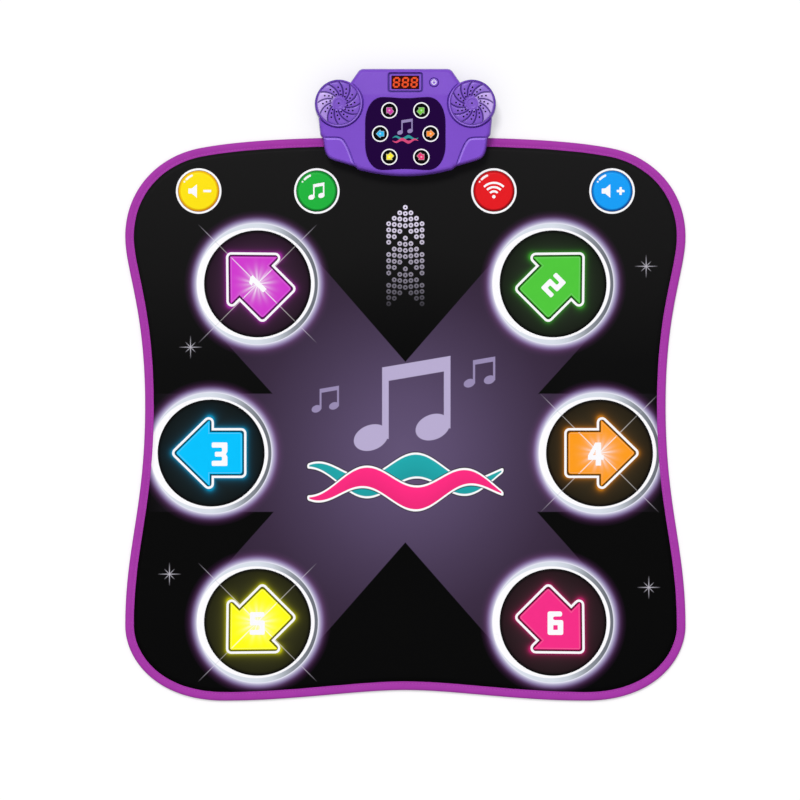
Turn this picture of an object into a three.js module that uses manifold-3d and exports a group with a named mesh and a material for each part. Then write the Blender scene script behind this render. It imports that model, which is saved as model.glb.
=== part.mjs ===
// A folding dance mat with six light-up foot pads, four touch keys and a control box
// clamped to its far edge. It lies flat with +Z up; the box is at the +Y end.
// The origin is on the floor, under the middle of the whole object. Lengths are millimetres.
import * as THREE from "three";
import { mergeVertices } from "three/addons/utils/BufferGeometryUtils.js";
import Module from "manifold-3d";

const wasm = await Module();
wasm.setup();

// Driving sizes of the whole object
const matWidth = 785;
const matLength = 789.5;
const boxWidth = 254;
const boxLength = 150.6;
const boxOverlapShare = 0.3659;
const fit = 0.3;
const overrun = 5;

const boxOverlap = boxOverlapShare * boxLength;
const overallLength = matLength + boxLength - boxOverlap;
const matFrontY = -overallLength / 2;
const matBackY = matFrontY + matLength;
const boxFrontY = matBackY - boxOverlap;
const boxBackY = boxFrontY + boxLength;

// Layers of the mat, from the floor up
const clothThick = 0.9;
const foamThick = 3.5;
const foamEdgeThick = 2.3;
const filmThick = 0.4;
const spacerThick = 1.8;
const coverThick = 1.2;
const bindingWidth = 10;
const bindingTape = 0.9;
const bindingBevel = 1.2;
const seamGap = 0.4;
const shoulderRun = 6;

const foamTop = clothThick + foamThick;
const foamEdgeTop = clothThick + foamEdgeThick;
const filmTop = foamTop + filmThick;
const spacerTop = filmTop + spacerThick;
const matTop = spacerTop + coverThick;
const edgeHeight = foamEdgeTop + coverThick + bindingTape;
const shoulderRise = spacerTop - foamEdgeTop;
const raisedInset = bindingWidth + shoulderRun;
const layerInset = raisedInset + fit;
const foamTopInset = bindingWidth + (shoulderRun * (foamTop - foamEdgeTop + fit)) / shoulderRise;

// The mat's edge, right half, from the middle of the near edge round to the middle of the
// far edge. Each row has the place across and along, the heading in degrees and the
// lengths of the curve's handles before and after the point.
const waistShare = 0.929;
const edgeShares = [
  { across: 0, along: 0.0189, heading: 0, before: 0.0887, after: 0.0887 },
  { across: 0.645, along: 0, heading: 0, before: 0.1241, after: 0.1241 },
  { across: 1, along: 0.1329, heading: 90, before: 0.057, after: 0.143 },
  { across: waistShare, along: 0.5244, heading: 90, before: 0.184, after: 0.172 },
  { across: 1, along: 0.8239, heading: 90, before: 0.061, after: 0.0836 },
  { across: 0.737, along: 0.9802, heading: 168.8, before: 0.0735, after: 0.0912 },
  { across: 0, along: 1, heading: 180, before: 0.1355, after: 0.1355 },
];
const edgeSteps = [3, 7, 4, 4, 7, 3];

// Foot pads
const padRadius = 74.5;
const padGap = 0.5;
const padProud = 0.6;
const padBevel = 1.4;
const padSides = 28;
const padTravel = 1.2;
const closeGap = 0.2;
const contactMargin = 5;
const contactHole = 7;
const contactSides = 20;
const lightSize = 5;
const cornerPadShare = 0.5274;
const sidePadMargin = 1.6;
const sideRowShare = 0.4395;
const padPitchShare = 0.3002;

const contactThick = spacerThick - padTravel - closeGap;
const lightHeight = contactThick;
const padTop = matTop + padProud;
const cornerPadX = (cornerPadShare * matWidth) / 2;
const sidePadX = (waistShare * matWidth) / 2 - raisedInset - padRadius - padGap - sidePadMargin;
const sideRowY = matFrontY + sideRowShare * matLength;
const farRowY = sideRowY + padPitchShare * matLength;
const nearRowY = sideRowY - padPitchShare * matLength;
const padPlaces = [
  { x: -cornerPadX, y: farRowY, turn: 135, diagonal: true, colour: 0xd358d2 },
  { x: cornerPadX, y: farRowY, turn: 45, diagonal: true, colour: 0x52c53e },
  { x: -sidePadX, y: sideRowY, turn: 180, diagonal: false, colour: 0x09c3fe },
  { x: sidePadX, y: sideRowY, turn: 0, diagonal: false, colour: 0xfaa437 },
  { x: -cornerPadX, y: nearRowY, turn: 225, diagonal: true, colour: 0xfdfc44 },
  { x: cornerPadX, y: nearRowY, turn: 315, diagonal: true, colour: 0xf23086 },
];

// The arrow-shaped light window that lies in each pad, and how far it stands off the pad's
// middle, towards its tip
const arrowLength = 107;
const arrowHeadWidth = 109;
const arrowShaftWidth = 70;
const arrowHeadLength = 57;
const arrowCorner = 7;
const arrowCornerSteps = 2;
const arrowShift = 3;
const diagonalArrowShift = 7.8;
const windowDepth = 0.8;

// Touch keys
const keyRadius = 28.6;
const keyCrown = 2.4;
const keyWall = 1.2;
const keySides = 20;
const innerKeyShare = 0.3159;
const outerKeyShare = 0.7376;
const keyRowFromBack = 75.5;

const innerKeyX = (innerKeyShare * matWidth) / 2;
const outerKeyX = (outerKeyShare * matWidth) / 2;
const keyRowY = matBackY - keyRowFromBack;
const keyPlaces = [
  { name: "volume_down_key", x: -outerKeyX, colour: 0xfce51a },
  { name: "mode_key", x: -innerKeyX, colour: 0x25b646 },
  { name: "wireless_key", x: innerKeyX, colour: 0xe81d23 },
  { name: "volume_up_key", x: outerKeyX, colour: 0x19a2f9 },
];

// Control box. Its outline is the right half, from the middle of the near lip round to the
// far edge, as shares of the half width and of the length.
const boxWall = 2.5;
const boxHeight = 36;
const boxDraft = 2.6;
const boxRound = 3.4;
const lipRun = 3;
const boxPart = matTop + fit;
const sideWallShare = 0.894;
const shoulderShare = 0.598;
const farEdgeShare = 0.5;
const boxOutlineShares = [
  [0, 0], [0.173, 0.0073], [0.35, 0.0286], [0.526, 0.0637], [0.551, 0.091], [0.819, 0.1567],
  [0.87, 0.193], [sideWallShare, 0.253], [0.909, 0.359], [0.939, 0.382], [0.959, 0.558],
  [0.772, 0.691], [shoulderShare, 0.88], [farEdgeShare, 1],
];
const lipPointCount = 4;
const floorBevel = 1.5;
const floorBevelRise = 3;

// Corner panels, sunk a little below the box's top behind a groove
const panelShares = [
  [1.2, -0.1], [1.2, 0.368], [0.717, 0.368], [0.667, 0.335], [0.623, 0.266], [0.578, 0.165],
  [0.543, 0.08], [0.5, -0.1],
];
const panelSink = 1.2;
const panelGroove = 1.4;
const panelGrooveDepth = 3.2;
const panelBevel = 2;

// Speaker pods, with a swirled grille in each
const podRadius = 34.3;
const podHeight = 40;
const podTopRadius = 31.9;
const podRimRadius = 30.6;
const podRimRound = 1.4;
const podLeanX = 1.8;
const podLeanY = 1.4;
const podSides = 28;
const podShare = 0.672;
const grilleRadius = 29;
const grilleSeat = 37.2;
const grilleLedge = 2.5;
const grilleLedgeThick = 1.6;
const grilleEdge = 1.6;
const grilleCrown = 1;
const grilleSegments = 12;
const grilleSwirl = 47;
const grillePhase = 101;
const grooveHalfWidth = 0.7;
const grooveDepth = 0.9;
const hubRadius = 7.6;
const hubRing = 1.6;
const hubRingRise = 0.5;
const hubSink = 0.5;
const grilleHoleRadius = 0.85;
const grilleHoleSides = 5;
const grilleHoleRadii = [11.5, 16.1, 21];
const grooveRadii = [9, 18, 27.6];

const podX = boxWidth / 2 - podRadius;
const podY = boxFrontY + podShare * boxLength;
const grilleX = podX + podLeanX;
const grilleY = podY + podLeanY;

// Speaker drivers
const driverRadius = 27.5;
const driverFlange = 1.9;
const driverDepth = 16;
const magnetRadius = 14;
const magnetHeight = 7;
const coneRadius = 24;
const coneDepth = 6;
const dustCap = 8;
const driverSides = 16;

// The smoked lens over the indicator lamps fills the width between the pods
const lensPodGap = 2.2;
const lensWidth = 2 * (podX - podRadius - lensPodGap);
const lensFromFront = 8.5;
const lensBandGap = 3.3;
const lensThick = 2;
const lensSink = 1.7;
const lensLedge = 4;
const lensWaist = 2.9;
const lensShoulderShare = 0.567;
const lensSideShares = [0.349, 0.643];
const lensBendShare = 0.58;
const lensCornerSteps = 4;

// The display band slopes down to the box's far edge
const bandLength = 36.7;
const bandDrop = 5.5;
const bandTilt = Math.atan2(bandDrop, bandLength);
const bezelWidth = 48.4;
const bezelLength = 27.4;
const bezelCorner = 4;
const bezelDepth = 1.2;
const bezelPlace = 17.8;
const windowWidth = 39;
const windowLength = 19.4;
const windowCorner = 1;
const windowSeat = 1.8;
const windowLedge = 1.7;
const windowPlate = 1.5;
const bezelBlock = 4.2;
const cornerSteps = 2;
const buttonRadius = 5.7;
const buttonGap = 0.4;
const buttonX = 40.1;
const buttonPlace = 17.7;
const buttonProud = 0.9;
const buttonFlange = 7.2;
const buttonFlangeThick = 1.2;
const buttonStem = 2;
const buttonTravel = 1;
const buttonSides = 14;

const creaseY = boxBackY - bandLength;
const lensLength = creaseY - lensBandGap - boxFrontY - lensFromFront;

// Electronics
const boardThick = 1.6;
const boardSeat = 17.4;
const boardEdgeGap = 9.5;
const boardSideGap = 12;
const boardTop = boardSeat + boardThick;
const boardWidth = shoulderShare * boxWidth - 2 * boardSideGap;
const moduleWidth = 37.6;
const moduleLength = 19;
const moduleHeight = 8;
const lampSize = 3.2;
const lampHeight = 1.9;
const lampShares = [
  [0.306, 0.923], [-0.306, 0.923], [0.468, 0.602], [-0.468, 0.602], [0.306, 0.279], [-0.306, 0.279],
];
const postRadius = 3;
const postFromLens = 4.6;
const postInset = 11;
const postX = lensWidth / 2 + postFromLens;
const postPlaces = [lensFromFront + postInset, lensFromFront + lensLength - postInset];
const switchSize = 6;
const switchHeight = 3.5;
const plungerRadius = 1.7;
const plungerHeight = 1.2;

// Battery bay, open underneath, with three AA cells side by side
const cellRadius = 7.1;
const cellLength = 50.5;
const cellPitch = 15;
const cellCount = 3;
const cellNub = 2.7;
const cellNubLength = 1.2;
const cellSides = 12;
const bayShare = 0.6175;
const bayWall = 1.6;
const bayRise = 11;
const bayEndGap = 4;
const contactPlate = 0.5;
const springRadius = 3;
const springReach = 2.6;
const doorThick = 1.8;
const doorGap = 0.4;
const doorRaise = 0.3;
const doorRecess = 2.5;

const bayY = boxFrontY + bayShare * boxLength;
const bayHalfWidth = cellLength / 2 + bayEndGap;
const bayHalfLength = (cellPitch * cellCount) / 2 + fit;
const doorTop = doorRaise + doorThick;
const cellZ = doorTop + fit + cellRadius;

// Case screws, with a boss in each shell
const screwHead = 3.1;
const screwCrown = 2.5;
const screwHeadThick = 2;
const screwShank = 1.4;
const screwLength = 15;
const smallSides = 8;
const bossRadius = 4;
const bossBore = 1.75;
const counterBore = 3.4;
const counterDepth = 4;
const screwFromSide = 21;
const screwFromMat = 4;
const screwFromCorner = 6.5;
const screwFromBack = 9.5;
const backBossTop = boxPart + fit;
const sideScrewX = boxWidth / 2 - screwFromSide;
const sideScrewY = matBackY + screwFromMat + bossRadius;
const farScrewX = (farEdgeShare * boxWidth) / 2 - screwFromCorner;
const screwPlaces = [
  { x: -sideScrewX, y: sideScrewY },
  { x: sideScrewX, y: sideScrewY },
  { x: -farScrewX, y: boxBackY - screwFromBack },
  { x: farScrewX, y: boxBackY - screwFromBack },
];

// Where the mat's layers run into the box
const ledgeLap = 2;
const ledgeInset = raisedInset + ledgeLap;
const mouthGap = 0.6;
const bindingTuck = 8;
const tailWidth = 22;
const tailThick = 0.3;
const tailRise = 5.5;

const group = new THREE.Group();

// Names one piece, gives it a colour and places it
function addPiece(name, geometry, colour, roughness, metalness = 0, parent = group) {
  const material = new THREE.MeshStandardMaterial({ color: colour, roughness, metalness });
  const mesh = new THREE.Mesh(geometry, material);
  mesh.name = name;
  parent.add(mesh);
  return mesh;
}

// A closed geometry as a solid that can be joined and cut
function toSolid(geometry) {
  const bare = geometry.clone();
  bare.deleteAttribute("normal");
  bare.deleteAttribute("uv");
  const merged = mergeVertices(bare);
  return new wasm.Manifold(new wasm.Mesh({
    numProp: 3,
    vertProperties: new Float32Array(merged.attributes.position.array),
    triVerts: new Uint32Array(merged.index.array),
  }));
}

// A solid back as a geometry
function toGeometry(solid) {
  const mesh = solid.getMesh();
  const geometry = new THREE.BufferGeometry();
  geometry.setAttribute("position", new THREE.BufferAttribute(mesh.vertProperties, 3));
  geometry.setIndex(new THREE.BufferAttribute(mesh.triVerts, 1));
  geometry.computeVertexNormals();
  return geometry;
}

// A closed skin through a stack of loops with the same number of points, capped at both
// ends, or joined end to end into a ring
function loft(loops, ring = false) {
  const count = loops[0].length;
  const positions = loops.flat().flatMap((point) => [point.x, point.y, point.z]);
  const faces = [];
  const bands = ring ? loops.length : loops.length - 1;
  for (let band = 0; band < bands; band += 1) {
    const lower = band * count;
    const upper = ((band + 1) % loops.length) * count;
    for (let step = 0; step < count; step += 1) {
      const next = (step + 1) % count;
      faces.push(lower + step, lower + next, upper + next);
      faces.push(lower + step, upper + next, upper + step);
    }
  }
  if (!ring) {
    const last = (loops.length - 1) * count;
    for (const [a, b, c] of capFaces(loops[0])) {
      faces.push(a, c, b);
    }
    for (const [a, b, c] of capFaces(loops[loops.length - 1])) {
      faces.push(last + a, last + b, last + c);
    }
  }
  const geometry = new THREE.BufferGeometry();
  geometry.setAttribute("position", new THREE.Float32BufferAttribute(positions, 3));
  geometry.setIndex(faces);
  geometry.computeVertexNormals();
  return geometry;
}

function capFaces(loop) {
  const flat = loop.map((point) => new THREE.Vector2(point.x, point.y));
  return THREE.ShapeUtils.triangulateShape(flat, []);
}

// A flat outline lifted to a height
function atHeight(outline, z) {
  return outline.map((point) => new THREE.Vector3(point.x, point.y, z));
}

function prism(outline, bottom, top) {
  return loft([atHeight(outline, bottom), atHeight(outline, top)]);
}

function circle(radius, sides, x = 0, y = 0) {
  const points = [];
  for (let side = 0; side < sides; side += 1) {
    const angle = (side * 2 * Math.PI) / sides;
    points.push(new THREE.Vector2(x + radius * Math.cos(angle), y + radius * Math.sin(angle)));
  }
  return points;
}

function disc(radius, sides, x, y, bottom, top) {
  return toSolid(prism(circle(radius, sides, x, y), bottom, top));
}

function rectangle(halfWidth, halfLength, x = 0, y = 0) {
  return [
    new THREE.Vector2(x - halfWidth, y - halfLength),
    new THREE.Vector2(x + halfWidth, y - halfLength),
    new THREE.Vector2(x + halfWidth, y + halfLength),
    new THREE.Vector2(x - halfWidth, y + halfLength),
  ];
}

function block(halfWidth, halfLength, x, y, bottom, top) {
  return toSolid(prism(rectangle(halfWidth, halfLength, x, y), bottom, top));
}

// The same outline with each corner rounded
function roundCorners(outline, radius, steps) {
  const points = [];
  outline.forEach((corner, index) => {
    const before = outline[(index + outline.length - 1) % outline.length];
    const after = outline[(index + 1) % outline.length];
    const start = corner.clone().add(before.clone().sub(corner).setLength(radius));
    const end = corner.clone().add(after.clone().sub(corner).setLength(radius));
    const curve = new THREE.QuadraticBezierCurve(start, corner, end);
    points.push(...curve.getPoints(steps));
  });
  return points;
}

// A closed outline moved inwards by one distance, with its corners kept sharp
function inset(outline, distance) {
  return outline.map((point, index) => {
    const before = outline[(index + outline.length - 1) % outline.length];
    const after = outline[(index + 1) % outline.length];
    const first = point.clone().sub(before).normalize();
    const second = after.clone().sub(point).normalize();
    const firstSide = new THREE.Vector2(-first.y, first.x);
    const secondSide = new THREE.Vector2(-second.y, second.x);
    const bisector = firstSide.clone().add(secondSide).normalize();
    return point.clone().addScaledVector(bisector, distance / bisector.dot(firstSide));
  });
}

// The left half of a symmetric outline added to its right half, which runs from the near
// middle to the far side
function mirrorOutline(half) {
  const left = half.filter((point) => point.x !== 0).map((point) => new THREE.Vector2(-point.x, point.y));
  return [...half, ...left.reverse()];
}

// The mat's edge moved inwards, with the same points at every distance
function matEdge(distance) {
  const knots = edgeShares.map((share) => {
    const heading = THREE.MathUtils.degToRad(share.heading);
    const place = new THREE.Vector2((share.across * matWidth) / 2, matFrontY + share.along * matLength);
    const along = new THREE.Vector2(Math.cos(heading), Math.sin(heading));
    return { share, place, along };
  });
  const half = [];
  for (let index = 0; index < knots.length - 1; index += 1) {
    const from = knots[index];
    const to = knots[index + 1];
    const curve = new THREE.CubicBezierCurve(
      from.place,
      from.place.clone().addScaledVector(from.along, from.share.after * matLength),
      to.place.clone().addScaledVector(to.along, -to.share.before * matLength),
      to.place,
    );
    for (let step = 0; step < edgeSteps[index]; step += 1) {
      const share = step / edgeSteps[index];
      const tangent = curve.getTangent(share);
      const point = curve.getPoint(share);
      half.push(new THREE.Vector2(point.x - tangent.y * distance, point.y + tangent.x * distance));
    }
  }
  half[0].x = 0;
  half.push(new THREE.Vector2(0, matBackY - distance));
  return mirrorOutline(half);
}

// The control box's outline without its speaker pods, moved inwards. The near lip can be
// moved in further than the rest.
function boxEdge(distance, lip = 0) {
  const half = boxOutlineShares.map(([across, along], index) => {
    const run = index < lipPointCount ? lip : 0;
    return new THREE.Vector2((across * boxWidth) / 2, boxFrontY + along * boxLength + run);
  });
  return inset(mirrorOutline(half), distance);
}

// A solid built on the left and on the right, joined into one. The side is -1 or 1.
function onBothSides(build) {
  return build(-1).add(build(1));
}

// The box's whole footprint, grown by a gap
function boxFootprint(gap, bottom, top) {
  const body = toSolid(prism(boxEdge(-gap), bottom, top));
  const pods = onBothSides((side) => disc(podRadius + gap, podSides, side * podX, podY, bottom, top));
  return body.add(pods);
}

// Mat

function addMatLayers() {
  const boxMouth = boxFootprint(mouthGap, -overrun, matTop);
  const cloth = toSolid(prism(matEdge(bindingWidth + fit), 0, clothThick)).subtract(boxMouth);
  addPiece("base_cloth", toGeometry(cloth), 0x141316, 0.9);

  const foam = toSolid(loft([
    atHeight(matEdge(bindingTape + seamGap), clothThick),
    atHeight(matEdge(bindingTape + seamGap), foamEdgeTop),
    atHeight(matEdge(bindingWidth + fit), foamEdgeTop),
    atHeight(matEdge(foamTopInset), foamTop),
  ]));
  addPiece("cushion_foam", toGeometry(foam.subtract(boxMouth)), 0x3a3a40, 0.95);
  addPiece("lower_contact_film", prism(matEdge(layerInset), foamTop, filmTop), 0x8d9096, 0.4);

  let spacer = toSolid(prism(matEdge(layerInset), filmTop, spacerTop));
  let cover = toSolid(loft([
    atHeight(matEdge(raisedInset), spacerTop),
    atHeight(matEdge(bindingWidth), foamEdgeTop),
    atHeight(matEdge(bindingTape + seamGap), foamEdgeTop),
    atHeight(matEdge(bindingTape + seamGap), foamEdgeTop + coverThick),
    atHeight(matEdge(bindingWidth), foamEdgeTop + coverThick),
    atHeight(matEdge(raisedInset), matTop),
  ]));
  for (const hole of buttonHoles()) {
    spacer = spacer.subtract(hole);
    cover = cover.subtract(hole);
  }
  addPiece("spacer_foam", toGeometry(spacer), 0xd9d9dc, 0.95);
  addPiece("top_cover", toGeometry(cover), 0x1b1a1d, 0.5);
}

// The holes that the pads and keys move in
function buttonHoles() {
  const pads = padPlaces.map(({ x, y }) =>
    disc(padRadius + padGap, padSides, x, y, filmTop, matTop + overrun));
  const keys = keyPlaces.map(({ x }) =>
    disc(keyRadius + padGap, keySides, x, keyRowY, filmTop, matTop + overrun));
  return [...pads, ...keys];
}

// A folded tape round the mat's edge, whose two ends are tucked into the box
function addBinding() {
  const section = [
    [bindingWidth, 0],
    [bindingBevel, 0],
    [0, bindingBevel],
    [0, edgeHeight - bindingBevel],
    [bindingBevel, edgeHeight],
    [bindingWidth, edgeHeight],
    [bindingWidth, edgeHeight - bindingTape],
    [bindingTape, edgeHeight - bindingTape],
    [bindingTape, bindingTape],
    [bindingWidth, bindingTape],
  ];
  const ring = toSolid(loft(section.map(([distance, z]) => atHeight(matEdge(distance), z)), true));
  const gap = block(bindingEndX(), boxOverlap, 0, matBackY, -overrun, edgeHeight + overrun);
  addPiece("edge_binding", toGeometry(ring.subtract(gap)), 0xaa3ea8, 0.8);
}

// How far from the middle the binding's ends stop, inside the box's side walls
function bindingEndX() {
  return (sideWallShare * boxWidth) / 2 - bindingTuck;
}

// Foot pads and keys

// The arrow's outline about a pad's middle, pointing along +X
function arrowOutline(shift, shrink) {
  const tip = arrowLength / 2 + shift - shrink;
  const tail = shift - arrowLength / 2 + shrink;
  const neck = tip - arrowHeadLength + shrink;
  const head = arrowHeadWidth / 2 - shrink;
  const shaft = arrowShaftWidth / 2 - shrink;
  const corners = [
    [tail, -shaft], [neck, -shaft], [neck, -head], [tip, 0], [neck, head], [neck, shaft], [tail, shaft],
  ].map(([x, y]) => new THREE.Vector2(x, y));
  return roundCorners(corners, arrowCorner, arrowCornerSteps);
}

function turned(outline, degrees, x, y) {
  const angle = THREE.MathUtils.degToRad(degrees);
  const middle = new THREE.Vector2(0, 0);
  return outline.map((point) => point.clone().rotateAround(middle, angle).add(new THREE.Vector2(x, y)));
}

function addPads() {
  padPlaces.forEach(({ x, y, turn, diagonal, colour }, index) => {
    const number = index + 1;
    const shift = diagonal ? diagonalArrowShift : arrowShift;
    const body = toSolid(loft([
      atHeight(circle(padRadius, padSides, x, y), spacerTop),
      atHeight(circle(padRadius, padSides, x, y), matTop),
      atHeight(circle(padRadius - padBevel, padSides, x, y), padTop),
    ]));
    const pocketOutline = turned(arrowOutline(shift, -fit), turn, x, y);
    const pocket = toSolid(prism(pocketOutline, padTop - windowDepth, padTop + overrun));
    addPiece(`pad_${number}`, toGeometry(body.subtract(pocket)), 0x121113, 0.3);

    const window = prism(turned(arrowOutline(shift, 0), turn, x, y), padTop - windowDepth, padTop);
    addPiece(`pad_window_${number}`, window, colour, 0.25);

    const contact = disc(padRadius - contactMargin, contactSides, x, y, spacerTop - contactThick, spacerTop)
      .subtract(disc(contactHole, smallSides, x, y, filmTop, matTop));
    addPiece(`pad_contact_${number}`, toGeometry(contact), 0x2b2d30, 0.6);

    const lamp = prism(rectangle(lightSize / 2, lightSize / 2, x, y), filmTop, filmTop + lightHeight);
    addPiece(`pad_light_${number}`, lamp, 0xf4efd8, 0.4);
  });
}

// A domed key with a hollow under it
function keyProfile() {
  const shoulder = keyRadius - keyCrown;
  const top = matTop + keyCrown;
  return [
    new THREE.Vector2(0, top - keyWall),
    new THREE.Vector2(shoulder - keyWall, top - keyWall - keyCrown / 2),
    new THREE.Vector2(shoulder - keyWall, spacerTop),
    new THREE.Vector2(keyRadius, spacerTop),
    new THREE.Vector2(keyRadius, matTop),
    new THREE.Vector2(shoulder, top - keyCrown / 3),
    new THREE.Vector2(0, top),
  ];
}

// A turned piece: its profile is radius and height, spun about +Z
function lathe(profile, sides) {
  const geometry = new THREE.LatheGeometry(profile, sides);
  geometry.rotateX(Math.PI / 2);
  return geometry;
}

function addKeys() {
  for (const { name, x, colour } of keyPlaces) {
    const key = addPiece(name, toGeometry(toSolid(lathe(keyProfile(), keySides))), colour, 0.25);
    key.position.set(x, keyRowY, 0);
  }
}

// Control box shells

// A block over the sloped band, from a depth below the band's surface upwards
function aboveBand(depth) {
  const profile = [
    new THREE.Vector2(creaseY, boxHeight - depth),
    new THREE.Vector2(creaseY + 2 * bandLength, boxHeight - depth - 2 * bandDrop),
    new THREE.Vector2(creaseY + 2 * bandLength, boxHeight + overrun),
    new THREE.Vector2(creaseY, boxHeight + overrun),
  ];
  const bar = new THREE.ExtrudeGeometry(new THREE.Shape(profile), { depth: boxWidth, bevelEnabled: false });
  bar.rotateX(Math.PI / 2);
  bar.rotateZ(Math.PI / 2);
  bar.translate(-boxWidth / 2, 0, 0);
  return toSolid(bar);
}

function sideOutline(shares, side) {
  const outline = shares.map(([across, along]) =>
    new THREE.Vector2((side * across * boxWidth) / 2, boxFrontY + along * boxLength));
  return side > 0 ? outline : outline.reverse();
}

// The box's body above its parting line, before its pods are added
function bodyOuter() {
  const roundStart = boxHeight - boxRound;
  const body = toSolid(loft([
    atHeight(boxEdge(0), boxPart),
    atHeight(boxEdge(boxDraft, lipRun / 2), roundStart),
    atHeight(boxEdge(boxDraft + boxRound / 4, lipRun / 2), roundStart + boxRound / 2),
    atHeight(boxEdge(boxDraft + boxRound, lipRun / 2), boxHeight),
  ]));
  return body.subtract(aboveBand(0));
}

function bodyCavity() {
  const roundStart = boxHeight - boxRound;
  const cavity = toSolid(loft([
    atHeight(boxEdge(boxWall), boxPart - overrun),
    atHeight(boxEdge(boxWall), boxPart),
    atHeight(boxEdge(boxWall + boxDraft, lipRun / 2), roundStart - boxWall / 2),
    atHeight(boxEdge(boxWall + boxDraft + boxRound / 2, lipRun / 2), boxHeight - boxWall),
  ]));
  return cavity.subtract(aboveBand(boxWall));
}

// One corner panel: the cut that sinks it and the raised face that stands in the cut
function panelCut(side) {
  const outline = sideOutline(panelShares, side);
  return toSolid(prism(outline, boxHeight - panelGrooveDepth, boxHeight + overrun));
}

function panelFace(side) {
  const outline = inset(sideOutline(panelShares, side), panelGroove);
  const top = boxHeight - panelSink;
  return toSolid(loft([
    atHeight(outline, boxPart),
    atHeight(outline, top - panelBevel / 2),
    atHeight(inset(outline, panelBevel), top),
  ]));
}

function podOuter(side) {
  const leanX = side * podLeanX;
  return toSolid(loft([
    atHeight(circle(podRadius, podSides, side * podX, podY), boxPart),
    atHeight(circle(podTopRadius, podSides, side * podX + leanX, podY + podLeanY), podHeight - podRimRound),
    atHeight(circle(podRimRadius, podSides, side * podX + leanX, podY + podLeanY), podHeight),
  ]));
}

// The hollow under the grille's ledge
function podCavity(side) {
  const leanX = side * podLeanX;
  const top = grilleSeat - grilleLedgeThick;
  return toSolid(loft([
    atHeight(circle(podRadius - boxWall, podSides, side * podX, podY), boxPart - overrun),
    atHeight(circle(podRadius - boxWall, podSides, side * podX, podY), boxPart),
    atHeight(circle(podTopRadius - boxWall, podSides, side * podX + leanX, podY + podLeanY), top),
  ]));
}

// The grille's seat, and the opening inside its ledge
function grilleRecess(side) {
  const opening = grilleRadius - grilleLedge;
  const top = podHeight + overrun;
  return disc(grilleRadius, podSides, side * grilleX, grilleY, grilleSeat, top)
    .add(disc(opening, podSides, side * grilleX, grilleY, grilleSeat - grilleLedgeThick - fit, top));
}

// The lens's pillow outline, with both long edges drawn in at the middle
function lensOutline(distance) {
  const side = lensWidth / 2;
  const near = boxFrontY + lensFromFront;
  const far = near + lensLength;
  const shoulder = side * lensShoulderShare;
  const [lowShare, highShare] = lensSideShares;
  const low = near + lensLength * lowShare;
  const high = near + lensLength * highShare;
  const corner = shoulder + (side - shoulder) * lensBendShare;
  const nearCorner = new THREE.CubicBezierCurve(
    new THREE.Vector2(shoulder, near),
    new THREE.Vector2(corner, near),
    new THREE.Vector2(side, low - (low - near) * lensBendShare),
    new THREE.Vector2(side, low),
  );
  const farCorner = new THREE.CubicBezierCurve(
    new THREE.Vector2(side, high),
    new THREE.Vector2(side, high + (far - high) * lensBendShare),
    new THREE.Vector2(corner, far),
    new THREE.Vector2(shoulder, far),
  );
  const half = [
    new THREE.Vector2(0, near + lensWaist),
    new THREE.Vector2(shoulder / 2, near + lensWaist / 2),
    ...nearCorner.getPoints(lensCornerSteps),
    ...farCorner.getPoints(lensCornerSteps),
    new THREE.Vector2(shoulder / 2, far - lensWaist / 2),
    new THREE.Vector2(0, far - lensWaist),
  ];
  return inset(mirrorOutline(half), distance);
}

// Moves a solid from the band's own frame, whose +Z is square to the band, to the box
function onBand(solid) {
  const degrees = THREE.MathUtils.radToDeg(-bandTilt);
  return solid.rotate([degrees, 0, 0]).translate([0, creaseY, boxHeight]);
}

function bandPlate(width, length, corner, place, bottom, top) {
  const outline = roundCorners(rectangle(width / 2, length / 2, 0, place), corner, cornerSteps);
  return toSolid(prism(outline, bottom, top));
}

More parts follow.
